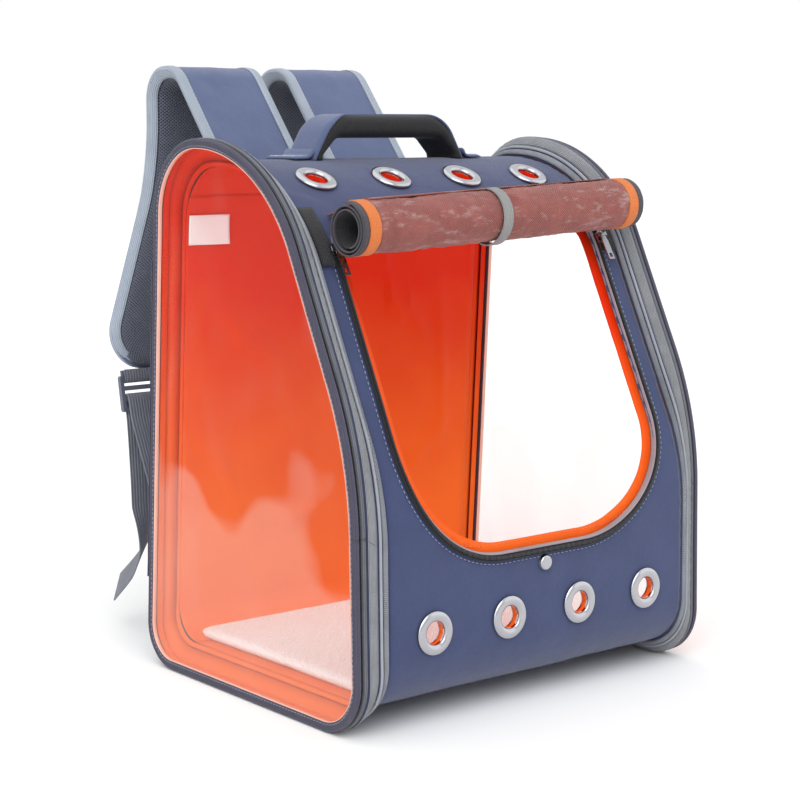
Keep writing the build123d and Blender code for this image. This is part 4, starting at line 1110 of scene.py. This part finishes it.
def hem_cloth():
    """The curtain's last run, from its seam on the front down onto the roll."""
    reach = 17.5
    xs = np.linspace(-103.8, 103.8, 84)
    rows = []
    for x in xs:
        line, angle, centre = tangent_path(x, reach, 304.0, 0.7, 8)
        line += arc_points(centre, reach, angle, angle + 0.5, 5)[1:]
        sag = [0.5 * math.sin(math.pi * k / 8) * (0.6 + 0.4 * math.sin(x / 9.0)) for k in range(9)] + [0] * 4
        rows.append([(x, q[0] + d * 0.3, q[1] - d) for q, d in zip(line, sag)])
    return skin(np.array(rows), xs[:, None], np.arange(13.0) * 2.4, flip=True)


hem = solidify(make("curtain_hem_cloth", hem_cloth(), "red_brown_mesh", ["curtain_hem"]), 0.8)


def tie_cloth():
    """The strap that ties the roll up, from the front's face round most of the roll."""
    x, reach = -4.0, 17.55
    line, angle, centre = tangent_path(x, reach, 314.0, 0.8, 6)
    line = line[:-1] + arc_points(centre, reach, angle, angle + math.radians(272), 60)
    p = xyz(x, np.array(line))
    across = np.broadcast_to(ROLL_ALONG, p.shape)
    lift = unit(np.cross(across, tangents(p, False)))
    return sweep(p, across, lift, rounded_section(8.0, 1.1, 0.45, 2))


make("curtain_tie_cloth", tie_cloth(), "tie_webbing", ["curtain_tie"])

# ---------------------------------------------------------------- handle

HANDLE_Y = 140.0
HANDLE_EDGE = 6.3
ROOF = 337.5


def handle_profiles():
    """Upper and lower lines of the grip in (x, z), matched point by point."""
    profiles = []
    for foot_x, foot_z, foot_r, top_x, top_z, top_r in ((64, 337.5, 1, 48, 365.5, 24),
                                                        (55.5, 339.5, 3, 43.75, 350.5, 9)):
        line, _ = rounded([(-foot_x, 336.0, 0), (-foot_x, foot_z, foot_r), (-top_x, top_z, top_r),
                           (top_x, top_z, top_r), (foot_x, foot_z, foot_r), (foot_x, 336.0, 0)],
                          step=1.0, closed=False)
        profiles.append(resample(line, 1, count=70)[0])
    return profiles


def handle_grip():
    upper, lower = handle_profiles()
    rings = []
    for middle, arm in zip((upper + lower) / 2, (upper - lower) / 2):
        half = np.linalg.norm(arm)
        across, lift = rounded_section(32.0, 2 * half, min(half * 0.9, 6.0), 5).T
        q = middle + arm / half * lift[:, None]
        rings.append(np.stack([q[:, 0], HANDLE_Y + across, q[:, 1]], -1))
    return tube(np.array(rings))


def handle_cover():
    """Cloth over the grip: wrapped round its feet, and drawn back from the front edge between them."""
    upper, _ = handle_profiles()
    n = -outward(tangents(upper, False))
    half = 16.2
    shares = np.linspace(-1, 1, 25)
    front = -half + 6.4 * np.exp(-(upper[:, :1] / 40.0) ** 6)
    across = front + (half - front) * (shares + 1) / 2
    over = np.clip(np.abs(across) - 11.5, 0, 4.9)
    drop = HANDLE_EDGE - np.sqrt(HANDLE_EDGE ** 2 - over ** 2)
    q = upper[:, None] + n[:, None] * (0.75 - drop)[..., None]
    p = np.stack([q[..., 0], HANDLE_Y + across * 0.985, q[..., 1]], -1)
    return skin(p, shares * 16, np.arange(len(upper))[:, None] * 2.6, flip=True)


def handle_flap(side):
    """End of the cover, sewn flat on the roof beside the grip."""
    xs = np.linspace(64.4, 79.8, 12)
    ys = np.linspace(124.3, 155.7, 22)
    x, y = np.meshgrid(xs, ys)
    edge = np.minimum(np.minimum(x - xs[0] + 3, xs[-1] - x), np.minimum(y - ys[0], ys[-1] - y))
    z = ROOF + 0.5 + 1.2 * (1 - np.exp(-edge)) + 4.5 * np.exp(-(x - xs[0]) / 1.6)
    return skin(np.stack([x * side, y, z], -1), x, y, flip=side < 0)


make("handle_foam", handle_grip(), "black_foam", ["handle_grip"])
cover = join("handle_cover_cloth", [handle_cover(), handle_flap(1), handle_flap(-1)], "strap_cloth",
             ["handle_cover"])
solidify(cover, 1.1, -1.0)
flap_stitches = []
for side in (-1, 1):
    flap_stitches += box_stitch(np.array([side * 73.0, HANDLE_Y, 339.25]), *np.eye(3), 9.0, 25.0, cross=True)
join("handle_stitches", flap_stitches, "pale_thread")

# ---------------------------------------------------------------- shoulder straps

STRAP_SEAT = 1.4
STRAP_DEEP = 7.9
STRAP_WRINKLE = 0.35
STRAP_OUTER, STRAP_INNER = -82.0, -11.5
STRAP_END = (272.0, 190.0)
STRAP_BELLY = 256.0
STRAP_PATH = [(back_y(284.0) + STRAP_SEAT, 284.0, 0), (back_y(308.0) + STRAP_SEAT, 308.0, 25),
              (262.0, 399.0, 22), (298.0, 399.0, 22), (298.0, 335.0, 200), (*STRAP_END, 0)]
strap_line, _ = rounded(STRAP_PATH, step=2.0, closed=False)
strap_n = -outward(tangents(strap_line, False))
strap_s = arc_length(strap_line)
plan_line, _ = rounded([(STRAP_OUTER, 500.0, 0), (STRAP_OUTER, 330.0, 160), (-141.0, 190.0, 24),
                        (-84.0, 190.0, 24), (STRAP_INNER, 330.0, 160), (STRAP_INNER, 500.0, 0)],
                       step=1.0, closed=False)
lowest = int(np.argmin(plan_line[:, 1] + 0.001 * np.abs(plan_line[:, 0] + 112.5)))


def strap_limits(inset=0.0):
    """Outer and inner edge of the left strap along its path."""
    y, z = strap_line.T
    outer = np.interp(-z, -plan_line[:lowest + 1, 1], plan_line[:lowest + 1, 0])
    inner = np.interp(z, plan_line[lowest:, 1], plan_line[lowest:, 0])
    outer = np.where(y < STRAP_BELLY, STRAP_OUTER, outer)
    inner = np.where(y < STRAP_BELLY, STRAP_INNER, inner)
    return outer + inset, inner - inset


def strap_layer(inset, is_mesh=False):
    """The left strap's padded body, or the mesh under it, along its path."""
    outer, inner = (edge[:, None] for edge in strap_limits(inset))
    thin = np.minimum(1.0, np.minimum(0.42 + strap_s / 30.0, 0.6 + (strap_s[-1] - strap_s) / 16.0))[:, None]
    u = np.linspace(-1, 1, 26)
    half = (inner - outer) / 2
    reach = (1 - np.abs(u)) * half
    p = xyz((outer + inner) / 2 + u * half, strap_line[:, None])
    wrinkle = STRAP_WRINKLE * (soft_noise(p, 42.0, 30) + 0.3 * soft_noise(p, 15.0, 31))
    upper = -0.9 + 0.8 * dome(reach + inset, 1.6) + 0.5 * (1 - np.abs(u) ** 3) * thin
    lower = -1.2 - (STRAP_DEEP - 1.2) * dome(reach + inset, 15.0) * thin
    if is_mesh:
        upper, lower = lower + 0.25, lower - 1.4 * np.minimum(1, 0.3 + reach / 4.0)
    n = xyz(0.0, strap_n)[:, None]
    top = p + n * (upper + wrinkle)[..., None]
    low = p + n * (lower + wrinkle * 0.6)[..., None]
    return tube(np.concatenate([top, low[:, ::-1]], 1))


for strap_pad in split_sides("strap_cloth", strap_layer(0.4), "strap_cloth", "strap_pad"):
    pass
both("strap_mesh_cloth", strap_layer(3.2, is_mesh=True), "grey_mesh", ["strap_meshes"])


def strap_edges():
    """Line down one edge of the left strap, round its end and up the other, with its directions."""
    outer, inner = strap_limits()
    n = xyz(0.0, strap_n)
    down = np.hstack([xyz(outer, strap_line), n])
    up = np.hstack([xyz(inner, strap_line), n])[::-1]
    line, _ = resample(np.vstack([down, up]), 2.2)
    p, n = relaxed(line[:, :3], 2), unit(line[:, 3:])
    inward = unit(np.cross(n, tangents(p, False)))
    middle_x = np.interp(p[:, 2], strap_line[::-1, 1], ((outer + inner) / 2)[::-1])
    turn = np.sign((inward * (xyz(middle_x, p[:, 1:]) - p)).sum(-1))
    return p, inward * np.where(turn == 0, 1, np.sign(np.median(turn)))[..., None], n


# Section of the folded edge tape, (inward, lift): over the top, round the edge and under the mesh
TRIM_OVER = [(0.3 + 6.2 * (1 - u), 0.7 + 0.4 * math.sin(math.pi * u)) for u in np.linspace(0, 1, 7)]
TRIM_ROUND = [(0.35 + 0.85 * math.cos(a), -1.0 + 1.35 * math.sin(a))
              for a in np.radians(np.linspace(90, 270, 9)[1:-1])]
TRIM_UNDER = [(0.6, -3.3), (1.8, -5.3), (3.4, -6.9), (4.8, -7.9), (4.8, -7.2), (3.4, -6.1), (2.0, -4.4),
              (1.0, -2.2), (1.6, -0.9), (6.4, -0.25)]
p, inward, n = strap_edges()
both("strap_trim_cloth", sweep(p, inward, n, TRIM_OVER + TRIM_ROUND + TRIM_UNDER), "pale_binding",
     ["strap_trims"])
trim_stitches = stitch_row(p + inward * 5.4 + n * 0.95, n, pitch=3.2, length=2.2, height=0.22)
both("strap_stitches", trim_stitches, "pale_thread")

# ---------------------------------------------------------------- patches, webbing and adjusters

PATCH_WALL = 1.2
PATCH_OUTER, PATCH_INNER, PATCH_FOOT, PATCH_SEAT = -84.0, -9.5, 4.6, 1.1
PATCH_LIFT = 11.2
ANCHOR_LIFT = 1.8


def patch_plate(line, z0, z1):
    """Cloth patch on the leaning back, along a line of (x, lift), with rounded edges."""
    n = -outward(tangents(line, False))
    along, z = np.meshgrid(arc_length(line), np.linspace(z0, z1, 9))
    edge = np.minimum(np.minimum(along, along[0, -1] - along), np.minimum(z - z0, z1 - z))
    thick = PATCH_WALL * (0.25 + 0.75 * np.clip(edge / 1.2, 0, 1) ** 0.5)
    top = on_back(line[:, 0] + thick * n[:, 0], z, line[:, 1] + thick * n[:, 1])
    return closed_pad(top, on_back(line[:, 0], z, line[:, 1]), along, z, flip=True)


patch_line, _ = rounded([(PATCH_OUTER - PATCH_FOOT, PATCH_SEAT, 0), (PATCH_OUTER - 0.5, PATCH_SEAT, 1.2),
                         (PATCH_OUTER, PATCH_LIFT, 1.6), (PATCH_INNER, PATCH_LIFT, 1.6),
                         (PATCH_INNER + 0.5, PATCH_SEAT, 1.2), (PATCH_INNER + PATCH_FOOT, PATCH_SEAT, 0)],
                        step=1.0, closed=False)
strap_patch = patch_plate(patch_line, 280.0, 296.0)
both("strap_patch_cloth", strap_patch, "navy_canvas", ["strap_patches"])
patch_middle = (PATCH_OUTER + PATCH_INNER) / 2
patch_rows = box_stitch(on_back(patch_middle, 288.0, PATCH_LIFT + PATCH_WALL), SIDE, BACK_UP, BACK_NORMAL,
                        67.0, 10.0)
for foot in (PATCH_OUTER - 2.7, PATCH_INNER + 2.7):
    foot_line = on_back(foot, np.linspace(282.0, 294.0, 7), PATCH_SEAT + PATCH_WALL)
    patch_rows.append(patch_stitches(foot_line, BACK_NORMAL))
both("strap_patch_stitches", merged(patch_rows), "pale_thread")
anchor_line = np.stack([np.linspace(-124.3, -99.7, 16), np.full(16, ANCHOR_LIFT)], -1)
both("anchor_patch_cloth", patch_plate(anchor_line, 30.0, 40.0), "navy_canvas", ["anchor_patches"])

# The ladder lock hangs from the strap's end, along the strap's straight fall
WEB_X = -112.0
WEB_RUN_IN = 16.0
TWIST_START = (258.4, 95.0)
lock_down = unit(np.array(STRAP_END) - [307.0, 335.0])
lock_out = -outward(lock_down)
lock_top = np.array(STRAP_END) - lock_out * 4.0
# How far down its third bar is, and how far the webbing runs from its middle plane
lock_turn = 2 * LOCK_BAR + 2 * LOCK_SLOT + LOCK_BAR / 2 - WEB_WALL / 2
lock_face = LOCK_WALL / 2 + LOCK_CLEARANCE + WEB_WALL / 2


def lock_point(down, out_by):
    return lock_top + lock_down * (LOCK_GAP + down) + lock_out * out_by


def ribbon(path, twist=0.0):
    """Flat webbing along a (y, z) path, turned about its own line where twist is given."""
    p = xyz(WEB_X, path)
    across = np.broadcast_to(SIDE, p.shape)
    lift = unit(np.cross(across, tangents(p, False)))
    c, s = (way(twist)[..., None] for way in (np.cos, np.sin))
    return sweep(p, across * c + lift * s, lift * c - across * s, rounded_section(24.6, 1.25, 0.5, 2))


def half_turn(centre, way, count):
    """Half a turn of webbing about a bar of the lock; way is 1 where it passes below the bar, or -1."""
    start = math.atan2(-lock_out[1], -lock_out[0])
    points = arc_points(centre, lock_face, start, start - math.pi, count)
    if (points[count // 2] - centre) @ lock_down * way < 0:
        points = arc_points(centre, lock_face, start, start + math.pi, count)
    return points[1:-1]


def spline(points, per=12):
    """Smooth line through points (Catmull-Rom)."""
    q = np.asarray(points, float)
    q = np.vstack([2 * q[0] - q[1], q, 2 * q[-1] - q[-2]])
    made = []
    for k in range(1, len(q) - 2):
        a, b, c, d = q[k - 1:k + 3]
        made += [0.5 * (2 * b + (c - a) * u + (2 * a - 5 * b + 4 * c - d) * u ** 2
                        + (3 * b - a - 3 * c + d) * u ** 3) for u in np.linspace(0, 1, per, endpoint=False)]
    return np.array(made + [q[-2]])


rise, _ = rounded([(back_y(30.0) + 0.9, 30.0, 0), (back_y(46.0) + 0.9, 46.0, 12),
                   (*lock_point(lock_turn + WEB_RUN_IN, -lock_face), 40),
                   (*lock_point(lock_turn, -lock_face), 0)], step=1.5, closed=False)
tail = spline([lock_point(lock_turn, lock_face), lock_point(lock_turn + WEB_RUN_IN, lock_face + 0.4),
               (259.6, 118.0), TWIST_START, (257.5, 80.0), (262.0, 66.0), (276.0, 49.0), (301.0, 28.5)])
over_bar = half_turn(lock_point(lock_turn, 0.0), -1, 14)
whole, whole_s = resample(np.vstack([resample(rise, 1.5)[0], over_bar, tail]), 1.5)
whole = relaxed(whole, 3)
start_twist = whole_s[np.argmin(np.linalg.norm(whole - TWIST_START, axis=1))]
twist_at = np.interp(whole_s, [0, *(start_twist + np.array([0, 15, 30, 52])), whole_s[-1]],
                     np.radians([0, 0, 22, 44, 54, 56]))
split_sides("webbing_cloth", ribbon(whole, twist_at), "grey_webbing", "webbing")

loop_middle = LOCK_BAR / 2 + WEB_WALL / 2
back_leg = [lock_point(k, -lock_face) for k in np.linspace(-3.6, loop_middle, 5)]
front_leg = [lock_point(k, lock_face) for k in np.linspace(loop_middle, -3.6, 5)]
lock_loop = np.vstack([back_leg, half_turn(lock_point(loop_middle, 0.0), 1, 10), front_leg])
both("lock_loop_cloth", ribbon(lock_loop), "grey_webbing", ["lock_loops"])
anchor_middle = on_back(WEB_X, 35.0, ANCHOR_LIFT + PATCH_WALL)
anchor_rows = box_stitch(anchor_middle, SIDE, BACK_UP, BACK_NORMAL, 20.0, 6.0)
both("anchor_stitches", merged(anchor_rows), "pale_thread")

# ---------------------------------------------------------------- back pad, floor mat and label


def cushion(width, height, corner, step=3.2):
    """Grid over a rounded rectangle and each point's distance from its edge."""
    a, b = np.meshgrid(np.linspace(-width / 2, width / 2, int(width / step) + 1),
                       np.linspace(-height / 2, height / 2, int(height / step) + 1))
    core_a, core_b = width / 2 - corner, height / 2 - corner
    qa, qb = np.maximum(np.abs(a) - core_a, 0), np.maximum(np.abs(b) - core_b, 0)
    in_corner = (qa > 0) & (qb > 0)
    scale = np.where(in_corner, np.maximum(qa, qb) / np.maximum(np.hypot(qa, qb), 1e-9), 1.0)
    a = np.where(in_corner, np.sign(a) * (core_a + qa * scale), a)
    b = np.where(in_corner, np.sign(b) * (core_b + qb * scale), b)
    qa, qb = np.abs(a) - core_a, np.abs(b) - core_b
    edge = np.where((qa > 0) | (qb > 0), corner - np.hypot(np.maximum(qa, 0), np.maximum(qb, 0)),
                    corner - np.maximum(qa, qb))
    return a, b, np.maximum(edge, 0)


def local_points(mesh):
    """A mesh's points in the local millimetres that the sizes here use."""
    flat = np.zeros(len(mesh.vertices) * 3)
    mesh.vertices.foreach_get("co", flat)
    return flat.reshape(-1, 3) / MM + [0.0, DEPTH_ORIGIN, 0.0]


def write_points(mesh, points):
    mesh.vertices.foreach_set("co", ((points - [0.0, DEPTH_ORIGIN, 0.0]) * MM).ravel())
    mesh.update()


def settled(obj):
    """Take the object's modified mesh as its own."""
    graph = bpy.context.evaluated_depsgraph_get()
    mesh = bpy.data.meshes.new_from_object(obj.evaluated_get(graph))
    obj.modifiers.clear()
    obj.data = mesh
    return mesh


def puff(obj, hold, v_axis, voxel, cap=2.2, frames=20):
    """Let a pad swell as filled cloth does, keep each point within its cap, and hold the result."""
    remesh = obj.modifiers.new("remesh", "REMESH")
    remesh.mode = "VOXEL"
    remesh.voxel_size = voxel * MM
    start = local_points(settled(obj))
    cloth_on = obj.modifiers.new("cloth", "CLOTH")
    cloth_on.settings.quality = 5
    cloth_on.settings.use_pressure = True
    cloth_on.settings.uniform_pressure_force = 4.0
    cloth_on.settings.effector_weights.gravity = 0.0
    cloth_on.point_cache.frame_start = 1
    cloth_on.point_cache.frame_end = frames
    for frame_number in range(1, frames + 1):
        bpy.context.scene.frame_set(frame_number)
    swollen = settled(obj)
    moved = local_points(swollen) - start
    reach = np.linalg.norm(moved, axis=1, keepdims=True)
    write_points(swollen, start + moved * np.minimum(1.0, cap / np.maximum(reach, 1e-9)))
    bpy.context.scene.frame_set(1)
    mesh = obj.data
    write_points(mesh, hold(local_points(mesh)))
    write_uv(mesh, local_points(mesh) @ np.stack([SIDE, v_axis], -1))
    mesh.polygons.foreach_set("use_smooth", [True] * len(mesh.polygons))
    more = obj.modifiers.new("smooth", "SUBSURF")
    more.levels = more.render_levels = 1


PAD_WIDTH, PAD_HEIGHT, PAD_MIDDLE, PAD_SEAT = 176.0, 216.0, 164.0, 0.35


def back_cushion():
    a, b, edge = cushion(PAD_WIDTH, PAD_HEIGHT, 18.0)
    lift = 1.0 + 5.8 * (0.12 + 0.88 * dome(edge, 7.0)) + 0.6 * np.clip(edge / 40.0, 0, 1)
    z = PAD_MIDDLE + b * LEAN[1]
    return closed_pad(on_back(a, z, lift), on_back(a, z, PAD_SEAT), a, b, flip=True)


def hold_back_pad(p):
    """Keep the back pad on the panel, then draw in its two sewn channels."""
    lift = (p - [0, *BACK_FOOT]) @ BACK_NORMAL
    height = (p[:, 2] - PAD_MIDDLE + PAD_HEIGHT / 2) / PAD_HEIGHT
    channel = np.exp(-((np.abs(p[:, 0]) - 30.0) / 3.4) ** 2)
    channel *= np.clip(np.minimum(height, 1 - height) * 18, 0, 1)
    share = np.clip((lift - 1.0) / 6.0, 0, 1)
    change = share * (0.35 * soft_noise(p, 38.0, 41) + 0.15 * soft_noise(p, 14.0, 44) - 4.4 * channel)
    return p + BACK_NORMAL * (np.clip(lift + change, PAD_SEAT, 9.4) - lift)[:, None]


pad = make("back_pad_cloth", back_cushion(), "grey_mesh", ["back_pad"])
puff(pad, hold_back_pad, BACK_UP, 2.6)

MAT_WIDTH, MAT_FRONT, MAT_BACK = 241.0, -12.0, 190.6
MAT_FLOOR, MAT_TOP = 15.75, 23.1
FOOT_START, FOOT_RADIUS, FOOT_CENTRE = 7.4, 31.0, 46.4


def mat_floor(y):
    """Height of the lining under the mat, which rises round the front foot."""
    run = np.minimum(y - FOOT_START, 0)
    foot = FOOT_CENTRE - np.sqrt(np.maximum(FOOT_RADIUS ** 2 - run ** 2, 0))
    return np.where(y < FOOT_START, np.maximum(MAT_FLOOR, foot + 0.3), MAT_FLOOR)


def mat_cushion():
    a, b, edge = cushion(MAT_WIDTH, MAT_BACK - MAT_FRONT, 7.0)
    y = (MAT_FRONT + MAT_BACK) / 2 + b
    rim, floor = dome(edge, 4.0), mat_floor(y)
    p = np.stack([a, y, 0 * a], -1)
    soft = 0.35 * soft_noise(p, 60.0, 42) + 0.18 * soft_noise(p, 17.0, 43)
    top = 19.4 + 3.2 * rim + 0.3 * np.clip(edge / 30, 0, 1) + soft * np.clip(edge / 8, 0, 1)
    top = np.maximum(top, floor + 0.25)
    low = np.minimum(np.maximum(19.2 - 3.4 * rim, floor), top - 0.2)
    return closed_pad(np.stack([a, y, top], -1), np.stack([a, y, low], -1), a, b)


def hold_mat(p):
    """Keep the mat above the lining of the base and of the front foot, and inside its CAD space."""
    x, y, z = p.T
    x, y, z = np.clip(x, -121.0, 121.0), np.clip(y, -14.0, 191.0), np.clip(z, mat_floor(y), MAT_TOP)
    return np.stack([x, y, z], -1)


mat = make("floor_mat_cloth", mat_cushion(), "pale_mat", ["floor_mat"], body="floor_mat")
puff(mat, hold_mat, (0, 1, 0), 4.0)


def label():
    """Small woven tag inside the back, its free corners lifting a little."""
    zs = np.linspace(281.4, 301.6, 14)
    x, z = np.meshgrid(np.linspace(-123.6, -92.4, 18), zs)
    curl = 1.6 * ((x + 123.6) / 31.0) ** 3 * (1 - (z - 281.4) / 20.2) ** 2
    lift = -(LINING_END + 1.9 + curl + 0.25 * np.sin(x / 4.1 + z / 7.0))
    s = np.array([back_s(value) for value in zs])
    p, _ = wrap.at(np.broadcast_to(s[:, None], x.shape), lift)
    return skin(xyz(x, p), x, z)


tag = make("care_label_cloth", label(), "white_label", ["care_label"])
solidify(tag, 0.25)

# ---------------------------------------------------------------- eyelets


def lathe(profile, place, normal, steps=40):
    """Skin turned about a normal; the profile holds (radius, height) points."""
    normal = unit(normal)
    angles = np.arange(steps) * 2 * math.pi / steps
    way = np.cos(angles)[:, None] * SIDE + np.sin(angles)[:, None] * unit(np.cross(normal, SIDE))
    profile = np.asarray(profile, float)
    p = place + way * profile[:, None, :1] + normal * profile[:, None, 1:]
    return (p.reshape(-1, 3), grid_faces(len(profile), steps, close_columns=True),
            flat_uv(angles * 10, np.arange(len(profile))[:, None] * 1.0))


# (radius, lift): the rolled metal flange, and the lining drawn into the hole
FLANGE = ([(13.5, 0.15), (13.55, 0.6)]
          + [(10.35 + 3.2 * math.cos(a), 0.7 + 1.7 * math.sin(a))
             for a in np.linspace(0.1, math.pi - 0.25, 12)]
          + [(7.15, 0.55), (7.05, 0.0), (7.05, -0.7)])
SLEEVE = [(7.08, -0.5), (7.3, -2.4), (7.7, -4.4), (9.4, -5.2)]

for row_name, (face, normal) in EYELET_ROWS.items():
    places = [face + SIDE * x for x in EYELET_XS]
    flanges = [lathe(FLANGE, place, normal) for place in places]
    join(row_name + "_eyelet_flanges", flanges, "chrome", [row_name + "_eyelets"])
    sleeves = [lathe(SLEEVE, place, normal, 28) for place in places]
    join(row_name + "_eyelet_linings", sleeves, "orange_lining")

# ---------------------------------------------------------------- CAD nodes that stay

FINISHES = {
    "chrome": ("eyelet_washers", "snap_stud"),
    "spring_steel": ("hoop_strips",),
    "white_board": ("base_board",),
    "satin_metal": ("side_sliders", "left_side_pull", "right_side_pull", "window_sliders",
                    "left_window_pull", "right_window_pull"),
    "grey_plastic": ("ladder_locks",),
}
for finish, nodes in FINISHES.items():
    for name in nodes:
        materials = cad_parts[name].data.materials
        materials.clear()
        materials.append(LOOKS[finish])

# ---------------------------------------------------------------- camera, floor and lights


camera = bpy.data.cameras.new("camera")
camera.lens = 85.68
camera.sensor_width = 36.0
camera.clip_start = 0.05
camera.clip_end = 50.0
camera_object = link("camera", camera)
camera_object.location = (-0.80335, -0.87053 - DEPTH_ORIGIN * MM, 0.35645)
camera_object.rotation_euler = (math.radians(81.894), 0.0, math.radians(-39.183))
bpy.context.scene.camera = camera_object

WHITE = (1.0, 1.0, 1.0, 1.0)
world = bpy.data.worlds.new("studio")
bpy.context.scene.world = world
world.use_nodes = True
tree = world.node_tree
tree.nodes.clear()

# The background is white to the eye, in reflections and through the clear doors
soft = add_node(tree, "ShaderNodeBackground", {"Color": WHITE, "Strength": 0.62}).outputs[0]
white = add_node(tree, "ShaderNodeBackground", {"Color": WHITE, "Strength": 1.0}).outputs[0]
ray = add_node(tree, "ShaderNodeLightPath").outputs
seen = ray["Is Camera Ray"]
for kind in ("Is Glossy Ray", "Is Transmission Ray"):
    seen = add_node(tree, "ShaderNodeMath", {0: seen, 1: ray[kind]}, operation="MAXIMUM").outputs[0]
backdrop = add_node(tree, "ShaderNodeMixShader", {0: seen, 1: soft, 2: white}).outputs[0]
add_node(tree, "ShaderNodeOutputWorld", {0: backdrop})

FLOOR_REACH = 6.0
floor_mesh = bpy.data.meshes.new("floor")
floor_corners = [(x * FLOOR_REACH, y * FLOOR_REACH, 0) for x, y in ((-1, -1), (1, -1), (1, 1), (-1, 1))]
floor_mesh.from_pydata(floor_corners, [], [(0, 1, 2, 3)])
floor = link("floor", floor_mesh)
floor.location = (0, 0, -0.0004)
Shade("floor").set(Base_Color=WHITE, Roughness=0.9, Specular_IOR_Level=0.0)
floor_mesh.materials.append(LOOKS["floor"])

# Name, direction, spread in degrees and power
SUNS = (("key", (0.55, 0.75, -1.0), 50.0, 1.25), ("fill", (-0.9, 0.5, -0.5), 70.0, 0.45),
        ("top", (0.1, -0.3, -1.0), 70.0, 0.55), ("low", (0.9, 0.42, -0.42), 45.0, 0.5))
for name, (x, y, z), spread, power in SUNS:
    light = bpy.data.lights.new(name, "SUN")
    light.energy = power
    light.angle = math.radians(spread)
    link(name, light).rotation_euler = (math.atan2(math.hypot(x, y), -z), 0.0, math.atan2(x, -y) + math.pi)

bpy.context.scene.view_settings.view_transform = "Standard"
